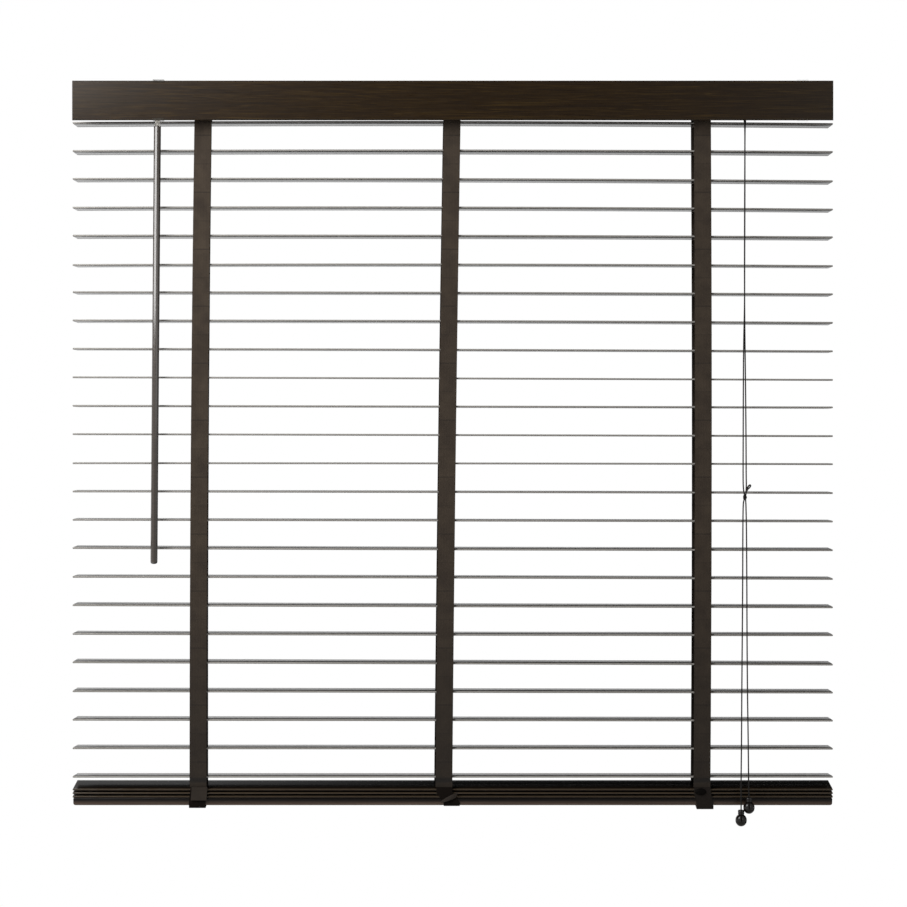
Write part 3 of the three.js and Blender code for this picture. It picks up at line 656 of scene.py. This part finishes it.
SWAY = {"left": -2.2 * MM, "middle": -1.2 * MM, "right": 2.0 * MM}  # at half height
REAR_OFFSET = {  # how far the rear strip hangs beside the front one: below the rail, at the foot
    "left": (-4.6 * MM, -2.6 * MM), "middle": (-1.4 * MM, -2.4 * MM), "right": (0.2 * MM, 0.8 * MM)}
REAR_SPREAD = 20 * MM


def ladder_x(side, z, facing=-1):
    """Where a tape's middle is at height z: the ladders hang a little askew and bowed."""
    ladder = ladders[side]
    share = (ladder["high"] - z) / (ladder["high"] - ladder["low"])
    x = ladder["top"] + share * (ladder["bottom"] - ladder["top"])
    x += SWAY[side] * 4 * share * (1 - share)
    if facing > 0:
        top, foot = REAR_OFFSET[side]
        x += (top + (foot - top) * share) * min(1, max(0, (FLOOR_Z - z) / REAR_SPREAD))
    return x


def ladder_half(z):
    """Half the ladder's width at height z, drawn in over the last stretch above the stack."""
    above = (z - STACK_PIVOT_Z) / FOOT_REACH
    return STRIP_Y - (STRIP_Y - FOOT_Y) * max(0, 1 - above)


def strip_y(z):
    """How far out a strip hangs: it bellies a little between rungs and is creased below them."""
    for (y0, z0), (y1, z1) in zip(RUN_IN, RUN_IN[1:]):
        if z >= z1:
            return y0 + (y1 - y0) * (z0 - z) / (z0 - z1)
    phase = (FIRST_SLAT_Z - z) / SLAT_PITCH
    belly = BELLY * math.sin(math.pi * phase) ** 2
    offset = (FIRST_SLAT_Z - CREASE_DROP - z) / SLAT_PITCH
    near = (offset - round(offset)) * SLAT_PITCH
    depth = CREASE_DEPTHS[round(offset) % 2]
    return ladder_half(z) + belly + depth * math.exp(-(near / CREASE_REACH) ** 2)


def tape_strip(name, side, facing, z_from, z_to, step=2 * MM):
    """facing is -1 for the front strip and 1 for the back one."""
    rows = max(2, round((z_from - z_to) / step) + 1)
    levels = [z_from + (z_to - z_from) * i / (rows - 1) for i in range(rows)]
    centres = [Vector((ladder_x(side, z, facing), facing * strip_y(z), z)) for z in levels]
    return ribbon(name, centres, [Vector((TAPE_WIDTH, 0, 0))] * rows)


for side in SIDES:
    for word, facing in (("front", -1), ("back", 1)):
        run_in = tape_strip(f"tape_{word}_run_in_{side}", side, facing, ROD_Z, RUN_IN_END)
        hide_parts(f"tape_{word}_{side}")
        x = ladder_x(side, FLOOR_Z)
        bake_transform(run_in)
        upper = tape_strip(f"tape_{word}_upper_{side}", side, facing, RUN_IN_END, GATHER_Z)
        lower = tape_strip(f"tape_{word}_lower_{side}", side, facing, GATHER_Z, STACK_PIVOT_Z)
        for piece in (upper, lower):
            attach(piece, f"tape_{word}s")
            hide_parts(f"tape_{word}_{side}")
        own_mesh(lower)
print("strips: 18 pieces")

# %% [markdown]
# ## Slats
# A slat is a thin plank with rounded long edges and a short slot for each lift cord. No two hang
# quite alike: the wood bows a little, and each rung lets its slat sit a hair askew. One flat plank
# is made from a grid, thickened, eased and slotted with a boolean. Every copy is then bent by a
# bow, slope and lean of its own. Most come from a seeded draw, so each run gives the same blind.

# %% One plank
SLAT_COUNT = sum(1 for name in frame["nodes"] if name.startswith("slat_"))
slat_low, slat_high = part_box("slat_01")
SLAT_HALF = (Vector(slat_high) - Vector(slat_low)) / 2
SLAT_EASE = 1.15 * MM
SLOT_LENGTH = 16 * MM
SLOT_WIDTH = 6 * MM
SLAT_CUTTER = 8 * MM
PLANK_SPANS = 30


def bevel_edges(piece, test, **settings):
    """Bevels the edges whose two ends both pass the test."""
    bpy.ops.object.mode_set(mode="EDIT")
    bpy.ops.mesh.select_mode(type="EDGE")
    bpy.ops.mesh.select_all(action="DESELECT")
    bpy.ops.object.mode_set(mode="OBJECT")
    for edge in piece.data.edges:
        edge.select = all(test(piece.data.vertices[i].co) for i in edge.vertices)
    bpy.ops.object.mode_set(mode="EDIT")
    bpy.ops.mesh.bevel(**settings)
    bpy.ops.object.mode_set(mode="OBJECT")


def cut_cord_slots(piece, depth):
    """Cuts the two slots that the lift cords pass, with half-round ends."""
    for x in CORD_X.values():
        bpy.ops.mesh.primitive_cylinder_add(vertices=24, radius=SLOT_WIDTH / 2, depth=depth,
                                            rotation=(0, 0, math.pi / 24))
        cutter = bpy.context.object
        bpy.ops.object.transform_apply(location=True, rotation=True, scale=True)
        for vertex in cutter.data.vertices:
            vertex.co.x += math.copysign((SLOT_LENGTH - SLOT_WIDTH) / 2, vertex.co.x) + x * MM
        apply_modifier(piece, "BOOLEAN", object=cutter, operation="DIFFERENCE", solver="EXACT")
        bpy.data.objects.remove(cutter)


bpy.ops.mesh.primitive_grid_add(x_subdivisions=PLANK_SPANS, y_subdivisions=1, size=2)
plank = bpy.context.object
for vertex in plank.data.vertices:
    vertex.co.x *= SLAT_HALF.x
    vertex.co.y *= SLAT_HALF.y
apply_modifier(plank, "SOLIDIFY", thickness=2 * SLAT_HALF.z, offset=0)
for side in (-1, 1):
    bevel_edges(plank, lambda co: abs(abs(co.y) - SLAT_HALF.y) < 1e-6 and co.z * side > 0,
                offset=SLAT_EASE, segments=3, profile=0.5)
cut_cord_slots(plank, SLAT_CUTTER)
plank = finish_piece("plank", 35, lacquered_slat)
print("plank", [round(v, 4) for v in plank.dimensions], len(plank.data.polygons), "faces")

# %% [markdown]
# Wooden slats droop towards their ends where the ladders don't carry them, the upper ones more
# than the lower ones, and this blind hangs a little low at the right.

# %% Every slat's own hang
draw = random.Random(12)
STACK_LEAN = math.radians(8.0)
STACK_DROP = 1.0 * MM  # how far the stack has settled into its loops
LAST_LEAN = math.radians(-2.6)  # the last slat's front edge is propped up a little
RIGHT_LOW = 1.4
SLOPE_SPREAD = 0.7
LEAN_RANGE = (-1.0, 0.8)
TOP_BOW = 2.4
BOW_SPREAD = 0.5
BOW_LIFT = 0.1  # the share of a bow that raises the middle, while the rest lowers the ends
BOW_REACH = 14  # the number of the slat at which the bow has gone
TAPE_GIVE = 1.5  # how much higher the upper slats hang than an even spacing says
GIVE_REACH = 21
FIRST_HANG = (TOP_BOW, 0.9, 0, 1.6)  # the first slat's bow, slope, lean and rise
hangs = {}
for number in range(1, SLAT_COUNT + 1):
    bow = max(0, TOP_BOW * (1 - number / BOW_REACH)) + draw.uniform(-BOW_SPREAD, BOW_SPREAD)
    slope = RIGHT_LOW + draw.uniform(-SLOPE_SPREAD, SLOPE_SPREAD)
    lean = draw.uniform(*LEAN_RANGE)
    rise = TAPE_GIVE * (1 - (number / GIVE_REACH) ** 4) if number < GIVE_REACH else 0
    hangs[number] = (bow, slope, math.radians(lean), rise)
hangs[1] = FIRST_HANG
GRADED = 4  # the last slats close up when the blind is raised, so they hang nearly alike
for number in range(SLAT_COUNT - GRADED + 1, SLAT_COUNT + 1):
    share = (SLAT_COUNT - number) / GRADED
    hangs[number] = (0, RIGHT_LOW * share, LAST_LEAN * (1 - share), 0)


def settle(piece, number):
    """Bends what hangs at a slat by that slat's bow, slope and rise in mm, and its lean."""
    bow, slope, lean, rise = hangs[number]
    for vertex in piece.data.vertices:
        share = vertex.co.x / SLAT_HALF.x
        vertex.co.z += (rise - bow * (share ** 2 - BOW_LIFT) - slope * share) * MM
        vertex.co.z += vertex.co.y * math.tan(lean)


def stack_place(name):
    """Lays what is made level at the origin in a node's place in the leaning stack."""
    low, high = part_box(name)
    middle = (0, 0, (low[2] + high[2]) / 2 - STACK_DROP)
    return Matrix.Translation(middle) @ Matrix.Rotation(STACK_LEAN, 4, "X")


for number in range(1, SLAT_COUNT + 1):
    name = f"slat_{number:02d}"
    slat = copy_piece(plank, f"plank_{number:02d}", (0, 0, slat_z(number)))
    settle(slat, number)
    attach(slat, name)
    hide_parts(name)
for number in (1, 2, 3):
    spare = copy_piece(plank, f"spare_plank_{number}")
    spare.data.transform(stack_place(f"spare_slat_{number}"))
    spare.material_slots[0].material = lacquered_spare_shaded
    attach(spare, "bottom_rail")
    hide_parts(f"spare_slat_{number}")
bpy.data.objects.remove(plank)
print(SLAT_COUNT, "slats hang and 3 lie on the rail")

# %% [markdown]
# ## Rungs
# Under each slat two narrow bands cross from the front strip to the back one in every ladder.
# They sag a little between the strips and carry the slat at its edges. They tilt with the slat,
# so one slat's rungs are one piece that rides with it. The first is modelled and the others are
# copies, moved along the ladders' slant and drawn in with the strips at the foot.

# %% Rungs under the slats
BAND_WIDTH = 5 * MM
BAND_THICKNESS = 0.45 * MM
BAND_DROP = 0.25 * MM
BAND_SAG = 0.35 * MM
BAND_END_GAP = 1.2 * MM  # from a band's end to the middle of the strip it is woven into
BAND_ROWS = 9
BAND_SPREAD = 0.95  # at 1 a band would be flush with its tape's edge
BAND_OFFSET = (TAPE_WIDTH - BAND_WIDTH) / 2 * BAND_SPREAD


def rung_band(x, z):
    reach = ladder_half(z) - BAND_END_GAP
    centres = []
    for i in range(BAND_ROWS):
        share = 2 * i / (BAND_ROWS - 1) - 1
        sag = BAND_DROP + BAND_SAG * (1 - share * share)
        centres.append(Vector((x, share * reach, z - SLAT_HALF.z - sag)))
    return ribbon("rung_band", centres, [Vector((BAND_WIDTH, 0, 0))] * BAND_ROWS,
                  thickness=BAND_THICKNESS)


first_bands = {side: join_pieces(f"bands_{side}", [
    rung_band(ladder_x(side, FIRST_SLAT_Z) + offset, FIRST_SLAT_Z)
    for offset in (-BAND_OFFSET, BAND_OFFSET)]) for side in SIDES}
for number in range(1, SLAT_COUNT + 1):
    z = slat_z(number)
    copies = []
    for side in SIDES:
        drift = ladder_x(side, z) - ladder_x(side, FIRST_SLAT_Z)
        bands = copy_piece(first_bands[side], "band", (drift, 0, z - FIRST_SLAT_Z))
        skew = (ladder_x(side, z, 1) - ladder_x(side, z)) / (2 * STRIP_Y)
        narrowing = (ladder_half(z) - BAND_END_GAP) / (STRIP_Y - BAND_END_GAP)
        for vertex in bands.data.vertices:
            vertex.co.y *= narrowing
            vertex.co.x += skew * (vertex.co.y + STRIP_Y)
        copies.append(bands)
    rungs = join_pieces(f"rungs_{number:02d}", copies)
    settle(rungs, number)
    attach(rungs, f"slat_{number:02d}")
    if number in LIFTED:
        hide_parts(f"ladder_rung_{number}")
for piece in first_bands.values():
    bpy.data.objects.remove(piece)
print("rungs under", SLAT_COUNT, "slats")

# %% [markdown]
# ## The tapes' lower ends
# Below the last slat the tapes run down past the spare slats, round the bottom rail and up again
# at the back. Fitters leave them a little slack, so each loop hangs below the rail and skews in
# its own way: the left one is doubled over once, the middle one is twisted, and the right one
# is held by an oval button. These ends turn with the rail.

# %% Loops round the rail
LOOPS = {  # in mm: x of a loop's middle at the pivot, on the stack and under the rail, its lowest
    # z and its width, and the cloth where it isn't the shaded one
    "left": {"x": (-393.9, -395.6, -396.6), "bottom": -1127.0, "width": 25.6,
             "cloth": tape_deep_shade_cloth},
    "middle": {"x": (-13.2, -12.6, -1.6), "bottom": -1123.9, "width": 25.0,
               "cloth": tape_deep_shade_cloth},
    "right": {"x": (387.0, 388.4, 391.7), "bottom": -1128.9, "width": 25.8},
}
LOOP_TURN = 3.6 * MM  # how far a loop's lower corners reach in
LOOP_CORNER = 5 * MM  # how far its front corner reaches up
LOOP_GIVE = 0.3 * MM  # how far its front stands out from the strip's foot
BACK_RISE = 6 * MM  # how much higher its back corner lies
BACK_DROP = 12 * MM  # how far below the pivot its back has drifted half its way
STACK_PACE = 1.6  # its front drifts to the stack's x in the first 1 / 1.6 of the way down, and on
# to the rail's x in the last 1 / 1.6 of it
CORNER = [math.radians(15 * i) for i in range(7)]  # the steps of a round turn


def loop_line(shape):
    """Front edge down, a round turn, a slack belly under the rail, and up at the back."""
    x_pivot, x_stack, x_rail = (v * MM for v in shape["x"])
    bottom = shape["bottom"] * MM
    back_bottom = bottom + BACK_RISE
    corner_z = bottom + LOOP_CORNER
    line = [Vector((x_pivot, -FOOT_Y, STACK_PIVOT_Z))]
    for share in (0.35, 0.7, 1.0):
        x = x_pivot + (x_stack - x_pivot) * min(1, share * STACK_PACE)
        x += (x_rail - x_stack) * max(0, share * STACK_PACE + 1 - STACK_PACE)
        z = STACK_PIVOT_Z + share * (corner_z - STACK_PIVOT_Z)
        line.append(Vector((x, -FOOT_Y - LOOP_GIVE, z)))
    for turn in CORNER[1:]:
        line.append(Vector((x_rail, -FOOT_Y - LOOP_GIVE + LOOP_TURN * (1 - math.cos(turn)),
                            corner_z - LOOP_CORNER * math.sin(turn))))
    for share in (0.25, 0.5, 0.75):
        y = -FOOT_Y + LOOP_TURN + share * 2 * (FOOT_Y - LOOP_TURN)
        line.append(Vector((x_rail, y, bottom + share * (back_bottom - bottom))))
    for turn in CORNER:
        line.append(Vector((x_rail, FOOT_Y - LOOP_TURN * (1 - math.sin(turn)),
                            back_bottom + LOOP_TURN * (1 - math.cos(turn)))))
    line.append(Vector(((x_rail + x_pivot) / 2, FOOT_Y, STACK_PIVOT_Z - BACK_DROP)))
    line.append(Vector((x_pivot, FOOT_Y, STACK_PIVOT_Z)))
    return line


loops = {}
for side, shape in LOOPS.items():
    line = loop_line(shape)
    width = shape["width"] * MM
    loops[side] = ribbon(f"tape_loop_{side}", line, [Vector((width, 0, 0))] * len(line),
                         thickness=0.9 * MM, material=shape.get("cloth", tape_end_cloth))
print("loops:", sorted(loops))

# %% Fold, twist and button
fold_line = [Vector((x * MM, y * MM, z * MM)) for x, y, z in (
    (-393.0, -26.7, -1094.5), (-393.2, -27.0, -1100.0), (-393.6, -27.8, -1107.5),
    (-393.9, -28.6, -1112.0), (-394.0, -29.0, -1114.8))]
fold = ribbon("tape_fold_left", fold_line, [Vector((24.4 * MM, 0, 0))] * len(fold_line),
              thickness=1.1 * MM)

TWIST = [(-18.0, -27.2, -1117.4), (-12.0, -28.2, -1114.4), (-5.8, -29.0, -1111.4),
         (0.4, -28.8, -1108.8), (6.4, -27.6, -1106.4)]
TWIST_WIDTH = [3.6, 6.6, 8.6, 9.8, 10.0]
TWIST_START = -62  # degrees
TWIST_STEP = 18
TWIST_SWING = (0.42, -0.5)  # across and in depth, against its height of 1
twist_across = []
for i, width in enumerate(TWIST_WIDTH):
    lean = math.radians(TWIST_START + TWIST_STEP * i)
    way = Vector((TWIST_SWING[0] * math.cos(lean), TWIST_SWING[1] * math.sin(lean), 1.0))
    twist_across.append(way.normalized() * width * MM)
twist = ribbon("tape_twist_middle", [Vector(p) * MM for p in TWIST], twist_across,
               thickness=0.8 * MM)

BUTTON_PLACE = (384.6 * MM, -26.9 * MM, -1101.8 * MM)
button = spun("tape_button_right", [
    (0, 2.4 * MM), (1.6 * MM, 2.3 * MM), (3.0 * MM, 1.7 * MM), (3.8 * MM, 0.7 * MM),
    (3.9 * MM, 0), (3.4 * MM, -0.4 * MM), (0, -0.5 * MM)], 28, dark_button)
BUTTON_STRETCH = (2.2, 1.0, 1.35, 1)  # its oval, against the round it is spun as
button.data.transform(Matrix.Translation(BUTTON_PLACE) @ Matrix.Diagonal(BUTTON_STRETCH)
                      @ Matrix.Rotation(math.radians(90), 4, "X"))

SPARE_BAND_OFFSET = 10.2 * MM
stack_bands = []
for number in range(1, 4):
    laid = stack_place(f"spare_slat_{number}") @ Matrix.Translation((0, 0, -STACK_PIVOT_Z))
    for side in SIDES:
        for offset in (-SPARE_BAND_OFFSET, SPARE_BAND_OFFSET):
            band = rung_band(LOOPS[side]["x"][0] * MM + offset, STACK_PIVOT_Z)
            band.data.transform(laid)
            stack_bands.append(band)
stack_rungs = join_pieces("rungs_spare", stack_bands)
for piece in (*loops.values(), fold, twist, button, stack_rungs):
    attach(piece, "bottom_rail")
for side in SIDES:
    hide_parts(f"tape_front_{side}", f"tape_back_{side}")
print("lower ends dressed")

# %% [markdown]
# ## Valance
# The valance is a board with its front edges eased all round, which catches a thin line of light.
# It starts as a cube of the board's size. The bevel operator eases the front edges, and the back
# ones a little.

# %% Valance
def block_between(low, high):
    bpy.ops.mesh.primitive_cube_add(size=1, location=(Vector(low) + Vector(high)) / 2)
    bpy.context.object.scale = Vector(high) - Vector(low)
    bpy.ops.object.transform_apply(location=True, rotation=True, scale=True)
    return bpy.context.object


VALANCE_EASE = 2.4 * MM
VALANCE_BACK_EASE = 0.5 * MM
low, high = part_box("valance")
valance = block_between(low, high)
bevel_edges(valance, lambda co: co.y < low[1] + 1e-5, offset=VALANCE_EASE, segments=3, profile=0.6)
bevel_edges(valance, lambda co: co.y > high[1] - 1e-5, offset=VALANCE_BACK_EASE, segments=2)
valance = finish_piece("valance_board", 30, lacquered_valance)
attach(valance, "headrail")
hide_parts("valance")
print("valance", [round(v, 4) for v in valance.dimensions])

# %% [markdown]
# ## Bottom rail
# The rail is thicker than a slat, flat on top, and rounded over at its lower edges. It lies in
# the loops with its front edge low, with the spare slats flat on it.

# %% Bottom rail
RAIL_HALF = Vector(((rail_high[0] - rail_low[0]) / 2, 24.7 * MM, 6 * MM))
RAIL_ROUND = 4.6 * MM
RAIL_EASE = 0.9 * MM
RAIL_CUTTER = 40 * MM
rail = block_between(-RAIL_HALF, RAIL_HALF)
bevel_edges(rail, lambda co: co.z < 0 and abs(abs(co.y) - RAIL_HALF.y) < 1e-5,
            offset=RAIL_ROUND, segments=6, profile=0.5)
bevel_edges(rail, lambda co: co.z > RAIL_HALF.z - 1e-5, offset=RAIL_EASE, segments=3)
cut_cord_slots(rail, RAIL_CUTTER)
rail.data.transform(stack_place("bottom_rail"))
rail = finish_piece("rail_bar", 40, lacquered_rail)
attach(rail, "bottom_rail")
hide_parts("bottom_rail")
print("rail", [round(v, 4) for v in rail.dimensions])

# %% [markdown]
# ## Wand
# The wand is a planed wooden rod with eight flats, eased at its edges and rounded at its tip. It
# hangs from the tilter's ball in a soft clear sleeve. The frame's joint gives its axis.

# %% Wand
wand_joint = joints["wand_turn"]
wand_top = Vector(wand_joint["pos_m"])
wand_axis = Vector(wand_joint["axis"])
WAND_RADIUS = 5.5 * MM
WAND_FACET_TURN = math.radians(4.6)  # how far its flats are turned from facing evenly
WAND_SHOULDER = -70.3 * MM
WAND_TIP_ROUND = 3.4 * MM
WAND_TOP_EASE = 1.0 * MM
WAND_EDGE_EASE = 0.35 * MM
wand_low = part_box("wand")[0][2]
wand_length = WAND_SHOULDER - wand_low
bpy.ops.mesh.primitive_cylinder_add(vertices=8, radius=WAND_RADIUS, depth=wand_length,
                                    location=(0, 0, -wand_length / 2))
wand = bpy.context.object
bpy.ops.object.transform_apply(location=True, rotation=True, scale=True)
bevel_edges(wand, lambda co: co.z < -wand_length + 1e-5, offset=WAND_TIP_ROUND, segments=5,
            profile=0.5)
bevel_edges(wand, lambda co: co.z > -1e-5, offset=WAND_TOP_EASE, segments=2)
apply_modifier(wand, "BEVEL", width=WAND_EDGE_EASE, segments=2, limit_method="ANGLE",
               angle_limit=math.radians(30))
lean = Vector((0, 0, 1)).rotation_difference(wand_axis).to_matrix().to_4x4()
wand.data.transform(Matrix.Translation(wand_top) @ lean
                    @ Matrix.Translation((0, 0, WAND_SHOULDER - wand_top.z))
                    @ Matrix.Rotation(WAND_FACET_TURN, 4, "Z"))
wand = finish_piece("wand_rod", 25, lacquered_wand)
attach(wand, "wand")
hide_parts("wand")
print("wand length", round(wand_length, 4))

# %% [markdown]
# ## Plastics and steels
# The clips and the wand's sleeve are clear moulded plastics: polycarbonate is hard and bright, and
# soft vinyl is milky. The left clip is scuffed, and the right one so clear that it hardly shows.
# The drums, cradles, tilter and lock are white nylon, which is satin and a little uneven. The
# headrail and brackets are rolled steel with a baked enamel in the stain's colour, and the rod is
# drawn steel with fine lines along it.

# %% Plastics, enamel and drawn steel
clear_clip, unworn_clip = (
    mottled(name, 9 * MM, 2, ("#57524c", "#6b665f"), IOR=1.58, Roughness=0.08, Alpha=alpha)
    for name, alpha in (("clear polycarbonate", 0.28), ("clear polycarbonate, unworn", 0.06)))
milky_vinyl = mottled(
    "milky soft vinyl", 6 * MM, 3, ("#ebe8e2", "#f8f6f2"),
    IOR=1.2, Roughness=0.5, Transmission_Weight=0.92)
white_nylon = mottled(
    "moulded white nylon", 3 * MM, 4, ("#d9d7d0", "#e8e6e0"),
    satin=(0.38, 0.52), relief=(0.15, 0.05 * MM), IOR=1.53, Subsurface_Weight=0.05)
brown_enamel = mottled(
    "baked brown enamel on steel", 1.2 * MM, 2, ("#32271f", "#3b2f26"),
    satin=(0.36, 0.48), relief=(0.12, 0.03 * MM), IOR=1.5, Coat_Weight=0.2, Coat_Roughness=0.2)
drawn_steel = mottled(
    "drawn steel", 1, 3, ("#8d8d8c", "#b4b4b2"),
    stretch=(60 * MM, 0.3 * MM), satin=(0.25, 0.42), Metallic=1)

FINISHES = {
    "slat_wood": lacquered_slat, "painted_steel": brown_enamel, "bare_steel": drawn_steel,
    "white_plastic": white_nylon, "clear_plastic": clear_clip,
}
slots = {part["node"]: part["material_slot"] for part in frame["record"]["subparts"]}
OWN_FINISHES = {"wand_sleeve": milky_vinyl, "valance_clip_right": unworn_clip}
for name, node in frame["nodes"].items():
    finish = OWN_FINISHES.get(name, FINISHES.get(slots[name]))
    if finish:
        for slot in node.material_slots:
            slot.material = finish
print("finishes put on", len(frame["nodes"]), "nodes")

# %% [markdown]
# ## Light
# A blind is shown against a white sweep, lit by a large soft light at the left and a weaker one at
# the right. The sweep is the world itself: white where it is seen, in the camera and in gloss
# behind the blind, and dimmer on the camera's side, where a studio is dark.

# %% World
world = bpy.data.worlds.new("studio")
SCENE.world = world
world.use_nodes = True
tree = world.node_tree
tree.nodes.clear()
way = add(tree, "ShaderNodeTexCoord", {}).outputs["Generated"]
parts = add(tree, "ShaderNodeSeparateXYZ", {"Vector": way})
x, y, z = (parts.outputs[axis] for axis in "XYZ")
wall = ramp(tree, fade(tree, z, -0.6, 0.6, kind="LINEAR"), [
    (0.1, "#707070"), (0.27, "#808080"), (0.34, "#f4f4f4"), (0.4, "#ffffff"), (0.46, "#e6e6e6"),
    (0.55, "#e0e0e0"), (0.605, "#c4c4c4"), (0.65, "#606060"), (0.71, "#505050"),
    (0.86, "#606060"), (1.0, "#909090")])
above = fade(tree, z, 0.14, 0.24)
below = fade(tree, z, -0.34, -0.22, 1, 0)
outer = count(tree, "MAXIMUM", above, below)
across = mix(tree, outer, fade(tree, x, -0.2, 0.25, 1, 0.64), fade(tree, x, -0.15, 0.01, 2.1, 0.08))
behind = count(tree, "MULTIPLY", wall, across)
left_window = fade(tree, x, -0.36, -0.06, 0.75, 0)
right_window = fade(tree, x, 0.06, 0.36, 0, 0.6)
windows = count(tree, "ADD", left_window, right_window)
low_front = count(tree, "MULTIPLY", fade(tree, z, -0.7, -0.2, 1, 0.03),
                  fade(tree, x, -0.3, 0.3, 1.25, 0.45))
before = count(tree, "ADD", windows, low_front)
sweep = mix(tree, fade(tree, y, -0.3, 0.3), before, behind)
path = add(tree, "ShaderNodeLightPath", {})
FRONT_AMBIENT = 0.09
BACK_AMBIENT = 0.5
ambient = fade(tree, y, -0.3, 0.3, FRONT_AMBIENT, BACK_AMBIENT)
seen = mix(tree, path.outputs["Is Glossy Ray"], ambient, sweep)
clear = count(tree, "MAXIMUM", path.outputs["Is Camera Ray"], path.outputs["Is Transmission Ray"])
back = add(tree, "ShaderNodeBackground",
           {"Color": (1, 1, 1, 1), "Strength": mix(tree, clear, seen, 1)})
add(tree, "ShaderNodeOutputWorld", {"Surface": back.outputs["Background"]})


# %% Lamps and floor
def soft_light(name, place, aim, width, height, watts):
    data = bpy.data.lights.new(name, "AREA")
    data.shape = "RECTANGLE"
    data.size, data.size_y = width, height
    data.energy = watts
    light = in_scene(name, data)
    light.location = place
    light.rotation_euler = (Vector(aim) - Vector(place)).to_track_quat("-Z", "Y").to_euler()


KEY_AIM = (-0.39, 0, -0.15)
FILL_AIM = (0, 0, -0.55)
soft_light("key", (-1.5, -1.3, 0.7), KEY_AIM, 1.2, 1.6, 42)
soft_light("fill", (2.4, -3.2, 0.4), FILL_AIM, 1.4, 2.0, 7)

FLOOR_RADIUS = 1.25
FLOOR_DROP = 1.62
bpy.ops.mesh.primitive_circle_add(vertices=96, radius=FLOOR_RADIUS, fill_type="NGON",
                                  location=(0, 0, -FLOOR_DROP))
floor = finish_piece("floor", material=mottled(
    "pale plaster floor", 1 / 6, 4, ("#e6e5e2", "#eeedea"), Roughness=0.8))
print("lights and floor stand")
